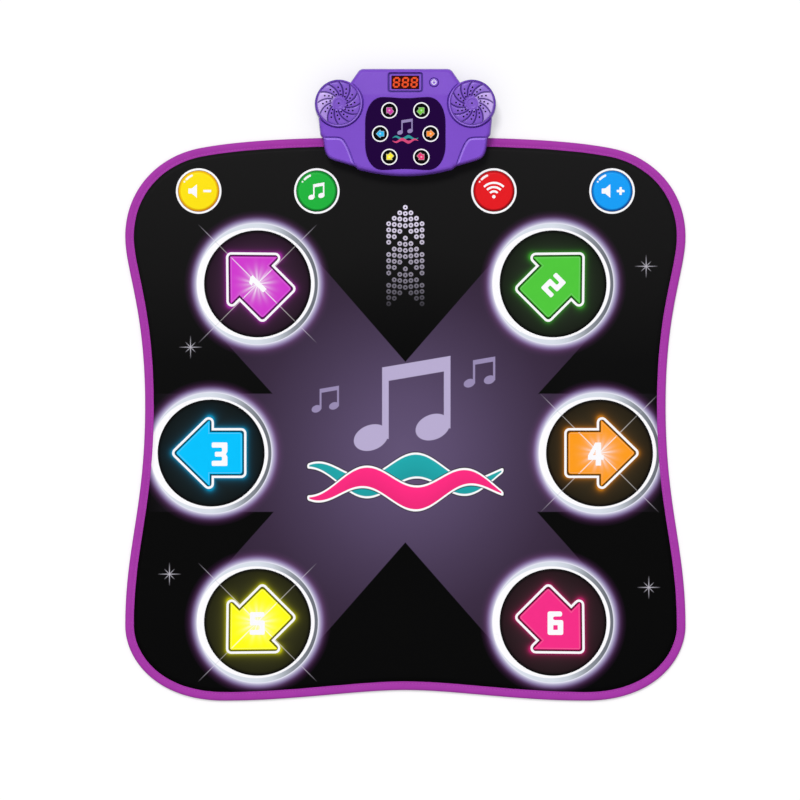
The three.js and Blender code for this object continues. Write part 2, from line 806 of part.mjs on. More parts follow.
function frontShell() {
  const lensSeat = boxHeight - lensSink - fit;
  const lensBack = lensSeat - boxWall;
  let outer = bodyOuter();
  let cavity = bodyCavity();
  for (const side of [-1, 1]) {
    const face = panelFace(side).intersect(outer);
    outer = outer.subtract(panelCut(side)).add(face);
    const panelRoof = prism(sideOutline(panelShares, side), boxHeight - panelGrooveDepth - boxWall, boxHeight);
    cavity = cavity.subtract(toSolid(panelRoof));
  }
  outer = outer.add(onBothSides(podOuter));
  cavity = cavity.subtract(toSolid(prism(lensOutline(-boxWall), lensBack, boxHeight)));
  cavity = cavity.add(onBothSides(podCavity));
  cavity = cavity.subtract(onBand(bandPlate(bezelWidth, bezelLength, bezelCorner, bezelPlace, -bezelBlock, 0)));
  for (const { x, y } of screwPlaces) {
    cavity = cavity.subtract(disc(bossRadius, smallSides, x, y, backBossTop + fit, boxHeight));
  }
  for (const place of postPlaces) {
    for (const side of [-1, 1]) {
      cavity = cavity.subtract(
        disc(postRadius, smallSides, side * postX, boxFrontY + place, boardTop + fit, boxHeight));
    }
  }
  let shell = outer.subtract(cavity).subtract(onBothSides(grilleRecess));
  shell = shell.subtract(toSolid(prism(lensOutline(0), lensSeat, boxHeight + overrun)));
  shell = shell.subtract(toSolid(prism(lensOutline(lensLedge), lensBack - overrun, boxHeight)));
  shell = shell.subtract(onBand(
    bandPlate(bezelWidth, bezelLength, bezelCorner, bezelPlace, -bezelDepth, overrun)));
  shell = shell.subtract(onBand(
    bandPlate(windowWidth, windowLength, windowCorner, bezelPlace, -bezelDepth - windowSeat, overrun)));
  const openWidth = windowWidth - 2 * windowLedge;
  const openLength = windowLength - 2 * windowLedge;
  shell = shell.subtract(onBand(
    bandPlate(openWidth, openLength, windowCorner, bezelPlace, -bezelBlock - overrun, 0)));
  shell = shell.subtract(onBand(
    disc(buttonRadius + buttonGap, buttonSides, buttonX, buttonPlace, -overrun, overrun)));
  for (const { x, y } of screwPlaces) {
    shell = shell.subtract(disc(bossBore, smallSides, x, y, boxPart, counterDepth + screwLength + fit));
  }
  return shell;
}

// The tray under the box, with a low edge where the mat's layers run in
function backShell() {
  let outer = toSolid(loft([
    atHeight(boxEdge(floorBevel), 0),
    atHeight(boxEdge(0), floorBevelRise),
    atHeight(boxEdge(0), boxPart),
  ]));
  outer = outer.add(onBothSides((side) => toSolid(loft([
    atHeight(circle(podRadius - floorBevel, podSides, side * podX, podY), 0),
    atHeight(circle(podRadius, podSides, side * podX, podY), floorBevelRise),
    atHeight(circle(podRadius, podSides, side * podX, podY), boxPart),
  ]))));
  let cavity = toSolid(prism(boxEdge(boxWall), boxWall, boxPart + overrun));
  cavity = cavity.add(onBothSides((side) =>
    disc(podRadius - boxWall, podSides, side * podX, podY, boxWall, boxPart + overrun)));
  for (const { x, y } of screwPlaces) {
    cavity = cavity.subtract(disc(bossRadius, smallSides, x, y, 0, backBossTop));
  }
  let tray = outer.subtract(cavity);
  for (const { x, y } of screwPlaces) {
    tray = tray.add(disc(bossRadius, smallSides, x, y, boxWall / 2, backBossTop));
    tray = tray.subtract(disc(bossBore, smallSides, x, y, -overrun, backBossTop + overrun));
    tray = tray.subtract(disc(counterBore, smallSides, x, y, -overrun, counterDepth));
  }
  return addBatteryBay(cutMouth(tray));
}

// Lowers the tray's edge under the mat's tongue and opens a port for each binding end
function cutMouth(tray) {
  const wide = matEdge(-mouthGap);
  const tongue = toSolid(prism(wide, foamTop - fit, boxPart + overrun));
  const rim = toSolid(prism(wide, foamEdgeTop - fit, foamTop))
    .subtract(toSolid(prism(matEdge(ledgeInset), 0, boxPart)));
  const portSpan = (boxWidth / 2 - bindingEndX()) / 2 + mouthGap;
  const strip = toSolid(prism(wide, -overrun, edgeHeight + mouthGap))
    .subtract(toSolid(prism(matEdge(bindingWidth + mouthGap), -overrun * 2, boxPart)));
  const ports = onBothSides((side) => {
    const middle = side * (bindingEndX() + portSpan - mouthGap);
    return block(portSpan, boxOverlap, middle, matBackY, -overrun, boxPart).intersect(strip);
  });
  return tray.subtract(tongue).subtract(rim).subtract(ports);
}

// Four low walls round the cells, and the door's opening through the floor
function addBatteryBay(tray) {
  const wallTop = boxWall + bayRise;
  const frame = block(bayHalfWidth + bayWall, bayHalfLength + bayWall, 0, bayY, boxWall / 2, wallTop);
  const bay = block(bayHalfWidth, bayHalfLength, 0, bayY, -overrun, wallTop + overrun);
  return tray.add(frame).subtract(bay);
}

function addShells() {
  addPiece("front_shell", toGeometry(frontShell()), 0x8152cc, 0.4);
  addPiece("back_shell", toGeometry(backShell()), 0x6f45b4, 0.5);
}

// Speakers

// A domed disc with swirled grooves between its petals, rings of holes and a raised hub
function grilleSolid(side) {
  const base = { radius: grilleRadius - fit, z: 0, groove: false };
  const loops = [base, ...grilleRings()].map((ring) => swirlLoop(ring, side));
  let grille = toSolid(loft(side > 0 ? loops : loops.map((loop) => loop.slice().reverse())));
  for (const radius of grilleHoleRadii) {
    for (let segment = 0; segment < grilleSegments; segment += 1) {
      const middle = (swirlAngle(segment, radius) + swirlAngle(segment + 1, radius)) / 2;
      const x = side * radius * Math.cos(middle);
      const y = radius * Math.sin(middle);
      grille = grille.subtract(disc(grilleHoleRadius, grilleHoleSides, x, y, -overrun, overrun));
    }
  }
  return grille.subtract(disc(grilleHoleRadius, grilleHoleSides, 0, 0, -overrun, overrun));
}

// Where a groove lies, by its number and the distance from the hub
function swirlAngle(segment, radius) {
  const start = THREE.MathUtils.degToRad(180 - grillePhase);
  const turn = THREE.MathUtils.degToRad(grilleSwirl) * (radius / grilleRadius);
  return start + (segment * 2 * Math.PI) / grilleSegments - turn;
}

// The grille's top from its rim to its hub
function grilleRings() {
  const outer = grooveRadii[grooveRadii.length - 1];
  const dome = (radius) => grilleEdge + grilleCrown * (1 - (radius / outer) ** 2);
  const rings = [{ radius: grilleRadius - fit, z: grilleEdge - grooveDepth / 2, groove: false }];
  for (const radius of grooveRadii.slice().reverse()) {
    rings.push({ radius, z: dome(radius), groove: true });
  }
  const hubTop = dome(hubRadius) + hubRingRise;
  rings.push({ radius: hubRadius, z: hubTop, groove: false });
  rings.push({ radius: hubRadius - hubRing, z: hubTop, groove: false });
  rings.push({ radius: hubRadius - hubRing - hubSink, z: dome(hubRadius) - hubSink, groove: false });
  return rings;
}

// Three points for each petal: both edges of a groove and its bed
function swirlLoop({ radius, z, groove }, side) {
  const points = [];
  const half = grooveHalfWidth / radius;
  for (let segment = 0; segment < grilleSegments; segment += 1) {
    const middle = swirlAngle(segment, radius);
    const places = [
      { angle: middle - half, rise: 0 },
      { angle: middle, rise: groove ? -grooveDepth : 0 },
      { angle: middle + half, rise: 0 },
    ];
    for (const { angle, rise } of places) {
      points.push(new THREE.Vector3(side * radius * Math.cos(angle), radius * Math.sin(angle), z + rise));
    }
  }
  return points;
}

function driverProfile() {
  const flangeBottom = driverDepth - driverFlange;
  return [
    [0, 0],
    [magnetRadius, 0],
    [magnetRadius, magnetHeight],
    [driverRadius - driverFlange, flangeBottom],
    [driverRadius, flangeBottom],
    [driverRadius, driverDepth],
    [coneRadius, driverDepth],
    [dustCap, driverDepth - coneDepth],
    [0, driverDepth - coneDepth / 2],
  ].map(([x, z]) => new THREE.Vector2(x, z));
}

function addSpeakers() {
  for (const [label, side] of [["left", -1], ["right", 1]]) {
    const grille = addPiece(`speaker_grille_${label}`, toGeometry(grilleSolid(side)), 0x8a5fd4, 0.35);
    grille.position.set(side * grilleX, grilleY, grilleSeat + fit);
    const driver = addPiece(`speaker_driver_${label}`, toGeometry(toSolid(lathe(driverProfile(), driverSides))),
      0x202022, 0.6);
    driver.position.set(side * grilleX, grilleY, grilleSeat - grilleLedgeThick - fit - driverDepth);
  }
}

// Lens, display, button and electronics

function addFrontPieces() {
  const lensBottom = boxHeight - lensSink;
  addPiece("indicator_lens", prism(lensOutline(fit), lensBottom, lensBottom + lensThick), 0x22093d, 0.15);

  const band = new THREE.Group();
  band.position.set(0, creaseY, boxHeight);
  band.rotation.x = -bandTilt;
  group.add(band);
  const plateTop = -bezelDepth;
  const plate = prism(
    roundCorners(
      rectangle(windowWidth / 2 - fit, windowLength / 2 - fit, 0, bezelPlace), windowCorner, cornerSteps),
    plateTop - windowPlate,
    plateTop,
  );
  addPiece("display_window", plate, 0x3a0a08, 0.1, 0, band);

  const button = addPiece("power_button", toGeometry(toSolid(lathe(buttonProfile(), buttonSides))), 0x7d50c8,
    0.4, 0, band);
  button.position.set(buttonX, buttonPlace, 0);
}

// A cap through the band's hole, a flange that holds it in and a stem over the switch
function buttonProfile() {
  const flangeTop = -boxWall - fit;
  const stemEnd = -buttonStemLength();
  return [
    [0, stemEnd],
    [buttonStem, stemEnd],
    [buttonStem, flangeTop - buttonFlangeThick],
    [buttonFlange, flangeTop - buttonFlangeThick],
    [buttonFlange, flangeTop],
    [buttonRadius, flangeTop],
    [buttonRadius, buttonProud - fit],
    [buttonRadius - fit, buttonProud],
    [0, buttonProud],
  ].map(([x, z]) => new THREE.Vector2(x, z));
}

// From the band's surface down to just clear of the switch's plunger at full travel
function buttonStemLength() {
  const bandHeight = boxHeight - buttonPlace * Math.sin(bandTilt);
  const plungerTop = boardTop + switchHeight + plungerHeight;
  return (bandHeight - plungerTop) / Math.cos(bandTilt) - buttonTravel - fit * 2;
}

function switchPlace() {
  return creaseY + buttonPlace * Math.cos(bandTilt) - buttonStemLength() * Math.sin(bandTilt);
}

function addElectronics() {
  const boardNear = boxFrontY + boxWall + boxDraft + boardEdgeGap;
  const boardFar = boxBackY - boxWall - boxDraft - boardEdgeGap;
  const boardMiddle = (boardNear + boardFar) / 2;
  let board = block(boardWidth / 2, (boardFar - boardNear) / 2, 0, boardMiddle, boardSeat, boardTop);
  for (const { x, y } of screwPlaces) {
    board = board.subtract(disc(bossRadius + mouthGap, smallSides, x, y, 0, boxHeight));
  }
  const lensNear = boxFrontY + lensFromFront;
  for (const [across, along] of lampShares) {
    const x = (across * lensWidth) / 2;
    const y = lensNear + along * lensLength;
    board = board.add(block(lampSize / 2, lampSize / 2, x, y, boardTop - boardThick / 2, boardTop + lampHeight));
  }
  addPiece("main_board", toGeometry(board), 0x1f6a3a, 0.5);

  const moduleY = creaseY + bezelPlace * Math.cos(bandTilt) - (bezelBlock + fit) * Math.sin(bandTilt);
  const module = prism(
    rectangle(moduleWidth / 2, moduleLength / 2, 0, moduleY), boardTop, boardTop + moduleHeight);
  addPiece("display_module", module, 0x1a1a1a, 0.3);

  const plungerTop = boardTop + switchHeight + plungerHeight;
  const power = block(switchSize / 2, switchSize / 2, buttonX, switchPlace(), boardTop, boardTop + switchHeight)
    .add(disc(plungerRadius, smallSides, buttonX, switchPlace(), boardTop + switchHeight / 2, plungerTop));
  addPiece("power_switch", toGeometry(power), 0x2a2a2c, 0.5);
  addPiece("ribbon_tail", ribbonTail(), 0xc9ccd2, 0.4);
}

// A flat printed tail from the contact film, under the cover's edge and up to the board
function ribbonTail() {
  const filmEnd = matBackY - layerInset + fit;
  const low = boxWall + fit;
  const rise = matBackY + tailRise;
  const path = [
    [filmEnd, foamTop],
    [filmEnd + shoulderRun / 2, low],
    [rise, low],
    [rise, boardSeat - fit],
    [rise - tailThick, boardSeat - fit],
    [rise - tailThick, low + tailThick],
    [filmEnd + shoulderRun / 2 + tailThick, low + tailThick],
    [filmEnd, foamTop + tailThick * 2],
  ].map(([y, z]) => new THREE.Vector2(y, z));
  const strip = new THREE.ExtrudeGeometry(new THREE.Shape(path), { depth: tailWidth, bevelEnabled: false });
  strip.rotateX(Math.PI / 2);
  strip.rotateZ(Math.PI / 2);
  strip.translate(-tailWidth / 2, 0, 0);
  return strip;
}

// Batteries, their contacts and the door

function cellProfile() {
  const half = cellLength / 2;
  return [
    [0, -half],
    [cellRadius, -half],
    [cellRadius, half - cellNubLength],
    [cellNub, half - cellNubLength],
    [cellNub, half],
    [0, half],
  ].map(([x, z]) => new THREE.Vector2(x, z));
}

function addBatteries() {
  for (let index = 0; index < cellCount; index += 1) {
    const shape = toGeometry(toSolid(lathe(cellProfile(), cellSides)));
    const cell = addPiece(`battery_${index + 1}`, shape, 0x2f6fae, 0.35, 0.3);
    cell.position.set(0, cellY(index), cellZ);
    cell.rotation.y = (cellDirection(index) * Math.PI) / 2;
  }
  addPiece("battery_contact_left", toGeometry(contactSolid(-1)), 0xc8c8c4, 0.3, 0.9);
  addPiece("battery_contact_right", toGeometry(contactSolid(1)), 0xc8c8c4, 0.3, 0.9);
}

function cellY(index) {
  return bayY + (index - (cellCount - 1) / 2) * cellPitch;
}

// The cells point right and left by turns
function cellDirection(index) {
  return index % 2 === 0 ? 1 : -1;
}

// A plate at one end of the bay, with a spring cone at each flat cell end
function contactSolid(side) {
  const outside = side * (bayHalfWidth - fit - contactPlate / 2);
  const reach = bayEndGap - fit * 2 - contactPlate / 2;
  const plateBottom = boxWall + fit;
  let contact = block(contactPlate / 2, bayHalfLength - fit, outside, bayY, plateBottom, boxWall + bayRise);
  for (let index = 0; index < cellCount; index += 1) {
    if (cellDirection(index) !== side) {
      const cone = new THREE.CylinderGeometry(springRadius / 2, springRadius, reach, smallSides);
      cone.rotateZ((side * Math.PI) / 2);
      cone.translate(outside - (side * reach) / 2, cellY(index), cellZ);
      contact = contact.add(toSolid(cone));
    }
  }
  return contact;
}

function addDoor() {
  const halfWidth = bayHalfWidth - doorGap;
  const halfLength = bayHalfLength - doorGap;
  const door = prism(
    roundCorners(rectangle(halfWidth, halfLength, 0, bayY), doorRecess, cornerSteps), doorRaise, doorTop);
  addPiece("battery_door", door, 0x6f45b4, 0.5);
}

// Pan-head screws from below, one in each boss
function addScrews() {
  const profile = [
    [0, -screwHeadThick],
    [screwCrown, -screwHeadThick],
    [screwHead, -screwHeadThick / 2],
    [screwHead, 0],
    [screwShank, 0],
    [screwShank, screwLength - screwShank],
    [0, screwLength],
  ].map(([x, z]) => new THREE.Vector2(x, z));
  screwPlaces.forEach(({ x, y }, index) => {
    const screw = addPiece(`case_screw_${index + 1}`, toGeometry(toSolid(lathe(profile, smallSides))),
      0xb8b8bc, 0.35, 0.9);
    screw.position.set(x, y, counterDepth - fit);
  });
}

addMatLayers();
addBinding();
addPads();
addKeys();
addShells();
addSpeakers();
addFrontPieces();
addElectronics();
addBatteries();
addDoor();
addScrews();

export default group;
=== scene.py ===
import math
from functools import partialmethod, reduce

import bmesh
import bpy
from mathutils import Matrix, Vector, noise
from mathutils.geometry import delaunay_2d_cdt
from mathutils.kdtree import KDTree


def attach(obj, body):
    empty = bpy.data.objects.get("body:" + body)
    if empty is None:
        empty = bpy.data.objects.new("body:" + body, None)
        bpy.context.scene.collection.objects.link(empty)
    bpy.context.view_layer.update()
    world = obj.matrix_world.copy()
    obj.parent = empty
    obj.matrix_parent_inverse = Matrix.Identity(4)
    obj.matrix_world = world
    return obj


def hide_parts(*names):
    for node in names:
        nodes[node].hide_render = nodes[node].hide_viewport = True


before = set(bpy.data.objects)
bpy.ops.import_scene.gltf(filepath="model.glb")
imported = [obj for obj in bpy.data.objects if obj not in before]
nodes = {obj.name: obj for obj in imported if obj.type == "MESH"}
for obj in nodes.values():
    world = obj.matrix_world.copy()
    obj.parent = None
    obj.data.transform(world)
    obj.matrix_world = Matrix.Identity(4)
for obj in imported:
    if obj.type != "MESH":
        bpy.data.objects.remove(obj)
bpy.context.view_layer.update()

MM = 0.001
MAT_BODY = "mat_and_box"

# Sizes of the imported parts
MAT_WIDTH = 785.0
MAT_LENGTH = 789.5
MAT_FRONT = -442.5
MAT_BACK = 347.0
BOX_WIDTH = 254.0
BOX_LENGTH = 150.6
BOX_FRONT = 291.9
BOX_PART = 8.1
BOX_HEIGHT = 36.0
NOTCH_SHARE = 0.894

CLOTH_TOP = 0.9
FOAM_EDGE_TOP = 3.2
FOAM_TOP = 4.4
FILM_TOP = 4.8
SPACER_TOP = 6.6
MAT_TOP = 7.8
PAD_TOP = 8.4
TAPE_WIDTH = 12.2
COVER_RISE = (11.2, 17.4)
COVER_EDGE_TOP = FOAM_EDGE_TOP + 1.2
COVER_THICK = 1.15

# Half of the mat's edge: each knot's place across and along, its heading and its handles
EDGE_SHARES = [
    (0, 0.0189, 0, 0.0887, 0.0887),
    (0.645, 0, 0, 0.1241, 0.1241),
    (1, 0.1329, 90, 0.057, 0.143),
    (0.929, 0.5244, 90, 0.184, 0.172),
    (1, 0.8239, 90, 0.061, 0.0836),
    (0.737, 0.9802, 168.8, 0.0735, 0.0912),
    (0, 1, 180, 0.1355, 0.1355),
]

PAD_RADIUS = 74.5
PAD_HOLE = 75.0
CORNER_PAD = (207.0, 141.5)
SIDE_PAD = (272.0, -95.5)
NEAR_PAD = (207.0, -332.5)
PAD_PLACES = (CORNER_PAD, SIDE_PAD, NEAR_PAD)
KEY_RADIUS = 28.6
KEY_HOLE = 29.1
KEY_RING_RADIUS = 31.8
KEY_ROW = 271.5
INNER_KEY = 124.0
OUTER_KEY = 289.5

POD_X = 92.7
POD_Y = 393.1
POD_RADIUS = 34.3
DRIVER_X = 94.5
DRIVER_Y = 394.5
GRILLE_X = 93.2
GRILLE_Y = 394.1
GRILLE_RADIUS = 30.3
GRILLE_SEAT = 37.2
CREASE_Y = 405.8
BAND_TILT = math.atan2(5.5, 36.7)
LENS_HALF = 56.2
LENS_NEAR = 300.4
LENS_FAR = 402.5
LENS_SEAT = 34.0
LENS_TOP = LENS_SEAT + 2.3
BOX_GAP = 0.6
ABOVE = 46.0
FACETS = 96

# Places on the sloped band, measured from its crease
BEZEL_Y = 17.8
BUTTON_PLACE = (40.1, 17.7)

WINDOW_NAMES = ("magenta", "green", "cyan", "orange", "yellow", "pink")


def linear(red, green, blue):
    """A colour as read in a photograph, 0 to 255, made linear."""
    shares = (red / 255, green / 255, blue / 255)
    return tuple(s / 12.92 if s <= 0.04045 else ((s + 0.055) / 1.055) ** 2.4 for s in shares)


def scaled(colour, factor):
    return tuple(min(part * factor, 1.0) for part in colour)


WHITE = linear(250, 249, 252)
SHELL_COLOUR = linear(121, 73, 196)
SHELL_DARK = linear(78, 40, 148)
# Painted highlight: a paler purple for the corner panels' bevels and the pods' near rims
HIGHLIGHT_COLOUR = linear(156, 116, 226)
# Painted shade: a deeper purple for the grooves round the display and the button, and the pods'
# outer far rims
GROOVE_SHADE_COLOUR = linear(74, 38, 148)
BINDING_COLOUR = linear(168, 49, 169)
BLACK = (0.0035, 0.0034, 0.0036)


# Materials


class Field:
    """A number worked out at each point of a surface. Sums on it build the nodes."""

    def __init__(self, tree, socket):
        self.tree = tree
        self.socket = socket

    def node(self, operation, *others, clamp=False):
        made = self.tree.nodes.new("ShaderNodeMath")
        made.operation = operation
        made.use_clamp = clamp
        for index, value in enumerate((self, *others)):
            if isinstance(value, Field):
                self.tree.links.new(value.socket, made.inputs[index])
            else:
                made.inputs[index].default_value = value
        return Field(self.tree, made.outputs[0])

    __add__ = partialmethod(node, "ADD")
    __sub__ = partialmethod(node, "SUBTRACT")
    __mul__ = partialmethod(node, "MULTIPLY")
    __truediv__ = partialmethod(node, "DIVIDE")
    __neg__ = partialmethod(node, "MULTIPLY", -1.0)
    __abs__ = partialmethod(node, "ABSOLUTE")
    low = partialmethod(node, "MINIMUM")
    high = partialmethod(node, "MAXIMUM")
    clamped = partialmethod(node, "MULTIPLY", 1.0, clamp=True)

    def scale(self, factor, plus=0.0, clamp=False):
        return self.node("MULTIPLY_ADD", factor, plus, clamp=clamp)

    def under(self, edge, soft=0.3):
        """1 where the number is under the edge, 0 above, with a short ramp between."""
        return self.scale(-1 / soft, edge / soft + 0.5, clamp=True)

    def fade(self, start, end):
        """1 at the start, 0 at the end, straight between."""
        return self.scale(1 / (start - end), end / (end - start), clamp=True)

    def decay(self, length):
        """1 at zero, falling away over the length."""
        return self.node("MULTIPLY", -1 / length).node("EXPONENT")


def hypot(across, along):
    return (across * across + along * along).node("SQRT")


class Shader:
    """A procedural material about one Principled BSDF, with coordinates in millimetres."""

    def __init__(self, name, roughness=0.5, specular=0.5, metallic=0.0):
        self.material = bpy.data.materials.new(name)
        self.material.use_nodes = True
        self.tree = self.material.node_tree
        self.bsdf = self.tree.nodes["Principled BSDF"]
        self.set("Roughness", roughness)
        self.set("Specular IOR Level", specular)
        self.set("Metallic", metallic)
        self.source = self.make("TexCoord").outputs["Object"]
        self.normal = None

    def put(self, value, socket):
        """Links a field or an output to an input, or sets its value."""
        if isinstance(value, Field):
            value = value.socket
        if isinstance(value, bpy.types.NodeSocket):
            self.tree.links.new(value, socket)
        elif isinstance(value, tuple) and len(value) == 3:
            socket.default_value = (*value, 1)
        else:
            socket.default_value = value

    def set(self, name, value):
        self.put(value, self.bsdf.inputs[name])

    def make(self, kind, **inputs):
        made = self.tree.nodes.new("ShaderNode" + kind)
        for name, value in inputs.items():
            self.put(value, made.inputs[name])
        return made

    def vector(self, operation, first, second):
        made = self.make("VectorMath")
        made.operation = operation
        self.put(first, made.inputs[0])
        made.inputs[1].default_value = second
        return made.outputs[0]

    def use_uv(self):
        self.source = self.make("TexCoord").outputs["UV"]

    def place(self, middle=(0, 0, 0), turn=0.0):
        """The point's x, y and z about a middle, in axes turned by some degrees."""
        about = self.vector("MULTIPLY", self.source, (1 / MM,) * 3)
        about = self.vector("SUBTRACT", about, middle)
        if turn:
            made = self.make("VectorRotate", Angle=math.radians(-turn), Vector=about)
            made.rotation_type = "Z_AXIS"
            about = made.outputs[0]
        split = self.make("SeparateXYZ", Vector=about)
        return [Field(self.tree, output) for output in split.outputs]

    def noise(self, size, detail=2.0, stretch=(1, 1, 1)):
        """Soft noise from 0 to 1 with clouds of about this size."""
        about = self.vector("MULTIPLY", self.source, tuple(s / (MM * size) for s in stretch))
        made = self.make("TexNoise", Scale=1.0, Detail=detail, Vector=about)
        return Field(self.tree, made.outputs[0])

    def cells(self, size):
        """How far each point is from the nearest of many scattered grains."""
        about = self.vector("MULTIPLY", self.source, (1 / (MM * size),) * 3)
        made = self.make("TexVoronoi", Scale=1.0, Vector=about)
        return Field(self.tree, made.outputs["Distance"])

    def mix(self, share, first, second, blend="MIX"):
        made = self.make("Mix")
        made.data_type = "RGBA"
        made.blend_type = blend
        for value, index in ((share, 0), (first, 6), (second, 7)):
            self.put(value, made.inputs[index])
        return made.outputs[2]

    def ramp(self, share, stops):
        made = self.make("ValToRGB")
        self.put(share, made.inputs[0])
        elements = made.color_ramp.elements
        while len(elements) < len(stops):
            elements.new(0.5)
        for element, (place, colour) in zip(elements, stops):
            element.position = place
            element.color = (*colour, 1)
        return made.outputs[0]

    def glow(self, colour, strength):
        self.set("Emission Color", colour)
        self.set("Emission Strength", strength)

    def take_normal(self, made):
        self.normal = made.outputs[0]
        self.set("Normal", self.normal)

    def soften(self, radius):
        """Rounds the shading of sharp edges by a radius in millimetres."""
        made = self.make("Bevel", Radius=radius * MM)
        made.samples = 4
        self.take_normal(made)

    def bump(self, height, depth, strength=1.0):
        """Raises the surface by a field from 0 to 1, up to a depth in millimetres."""
        made = self.make("Bump", Strength=strength, Distance=depth * MM, Height=height)
        if self.normal:
            self.put(self.normal, made.inputs["Normal"])
        self.take_normal(made)

    def finish(self, colour, rough, *bumps):
        """Gives the colour, the roughness, if it varies, and bumps as height and depth."""
        self.set("Base Color", colour)
        if rough:
            self.set("Roughness", rough)
        for bump in bumps:
            self.bump(*bump)
        return self.material


def stops(*rows):
    """A ramp's stops, given as a place and a colour as read in a photograph."""
    return [(place, linear(*colour)) for place, *colour in rows]


def polished(name, colour, roughness, specular):
    """Clear plastic over a dark ground, almost smooth, with faint wipe marks."""
    shader = Shader(name, roughness, specular)
    face = shader.mix(shader.noise(30.0, 2.0), scaled(colour, 0.97), scaled(colour, 1.03))
    wiped = shader.noise(3.0, 4.0, (1, 0.15, 1)).scale(0.06, roughness - 0.03)
    return shader.finish(face, wiped, (shader.noise(12.0, 1.0), 0.003))


def plastic(name, colour, roughness=0.35, specular=0.35, edge=0.0, shade=None):
    """Moulded plastic: faint flow clouds, a fine spark texture and uneven gloss."""
    shader = Shader(name, roughness, specular)
    clouds = shader.noise(38.0, 3.0) * 0.6 + shader.noise(2.4, 2.0) * 0.4
    face = shader.mix(clouds, scaled(colour, 0.88), scaled(colour, 1.12))
    if shade:
        face = shade(shader, face)
    if edge:
        shader.soften(edge)
    gloss = shader.noise(9.0, 3.0).scale(0.14, roughness - 0.07)
    return shader.finish(face, gloss, (shader.noise(0.9, 3.0), 0.02))


def metal(name, colour, roughness):
    """Plated steel with drawn streaks."""
    shader = Shader(name, roughness, metallic=1.0)
    streaks = shader.noise(1.2, 4.0, (0.2, 1, 1))
    face = shader.mix(streaks, scaled(colour, 0.82), colour)
    return shader.finish(face, streaks.scale(0.2, roughness - 0.1), (streaks, 0.01))


def foam(name, colour):
    """Open foam: small cells, with painted shade darkening their hollows."""
    shader = Shader(name, 0.95, 0.1)
    grains = shader.cells(0.9)
    # Painted shade: darker further from each grain, where the bump sinks into a hollow
    face = shader.mix(grains, scaled(colour, 1.1), scaled(colour, 0.6))
    return shader.finish(face, None, (-grains, 0.35))


def printed(name, colour, roughness=0.42, specular=0.03):
    """Ink on coated fabric, with the cover's fine grain and slightly uneven cover."""
    shader = Shader(name, roughness, specular)
    face = shader.mix(shader.noise(6.0, 3.0), scaled(colour, 0.96), colour)
    return shader.finish(face, None, (shader.noise(0.8, 3.0), 0.015))


# Shapes


def circle(radius, sides, x=0.0, y=0.0):
    angles = [2 * math.pi * side / sides for side in range(sides)]
    return [(x + radius * math.cos(angle), y + radius * math.sin(angle)) for angle in angles]


def rectangle(half_width, half_length, x=0.0, y=0.0):
    corners = ((-1, -1), (1, -1), (1, 1), (-1, 1))
    return [(x + half_width * a, y + half_length * b) for a, b in corners]


def at_height(loop, z):
    return [(point[0], point[1], z) for point in loop]


def moved(loop, x=0.0, y=0.0, degrees=0.0, size=1.0):
    cos = math.cos(math.radians(degrees)) * size
    sin = math.sin(math.radians(degrees)) * size
    return [(x + px * cos - py * sin, y + px * sin + py * cos) for px, py in loop]


def mirrored(half):
    """The left half of a symmetric loop added to its right half."""
    return half + [(-x, y) for x, y in reversed(half) if abs(x) > 1e-9]


def corners_of(loop):
    """Each corner of a closed loop, with the ways in which its two edges run."""
    for index, corner in enumerate(loop):
        here = Vector(corner)
        before = (here - Vector(loop[index - 1])).normalized()
        after = (Vector(loop[(index + 1) % len(loop)]) - here).normalized()
        yield here, before, after


def inset(loop, distance):
    """A closed loop moved inwards by a distance, with its corners kept sharp."""
    made = []
    for here, before, after in corners_of(loop):
        side = Vector((-before.y, before.x))
        middle = (side + Vector((-after.y, after.x))).normalized()
        made.append(tuple(here + middle * (distance / middle.dot(side))))
    return made


def rounded(loop, radii, steps=5):
    """A closed loop with its corners rounded, by one radius or one for each corner."""
    made = []
    for index, corner in enumerate(loop):
        radius = radii[index] if isinstance(radii, list) else radii
        here = Vector(corner)
        before = Vector(loop[index - 1]) - here
        after = Vector(loop[(index + 1) % len(loop)]) - here
        start = here + before * min(radius / before.length, 0.49)
        end = here + after * min(radius / after.length, 0.49)
        for step in range(steps + 1):
            share = step / steps
            first = start.lerp(here, share)
            made.append(tuple(first.lerp(here.lerp(end, share), share)))
    return made


def grown(loop, distance, steps=6):
    """A closed loop moved outwards, with an arc round each corner that points out."""
    made = []
    for here, before, after in corners_of(loop):
        first = Vector((before.y, -before.x))
        last = Vector((after.y, -after.x))
        if before.x * after.y - before.y * after.x > 0:
            start = math.atan2(first.y, first.x)
            sweep = (math.atan2(last.y, last.x) - start) % (2 * math.pi)
            for step in range(steps + 1):
                angle = start + sweep * step / steps
                made.append(tuple(here + Vector((math.cos(angle), math.sin(angle))) * distance))
        else:
            middle = (first + last).normalized()
            made.append(tuple(here + middle * (distance / middle.dot(first))))
    return made


def loft(loops, ring=False):
    """A closed skin through loops with the same number of points."""
    count = len(loops[0])
    points = [point for loop in loops for point in loop]
    faces = []
    for band in range(len(loops) if ring else len(loops) - 1):
        low = band * count
        high = (band + 1) % len(loops) * count
        for step in range(count):
            after = (step + 1) % count
            faces.append((low + step, low + after, high + after, high + step))
    if not ring:
        faces.append(tuple(range(count - 1, -1, -1)))
        faces.append(tuple(range(len(points) - count, len(points))))
    return points, faces


def stack(rows, ring=False):
    """A skin through flat loops given with their heights."""
    return loft([at_height(loop, z) for loop, z in rows], ring)


def straight(loop, bottom, top):
    return stack([(loop, bottom), (loop, top)])


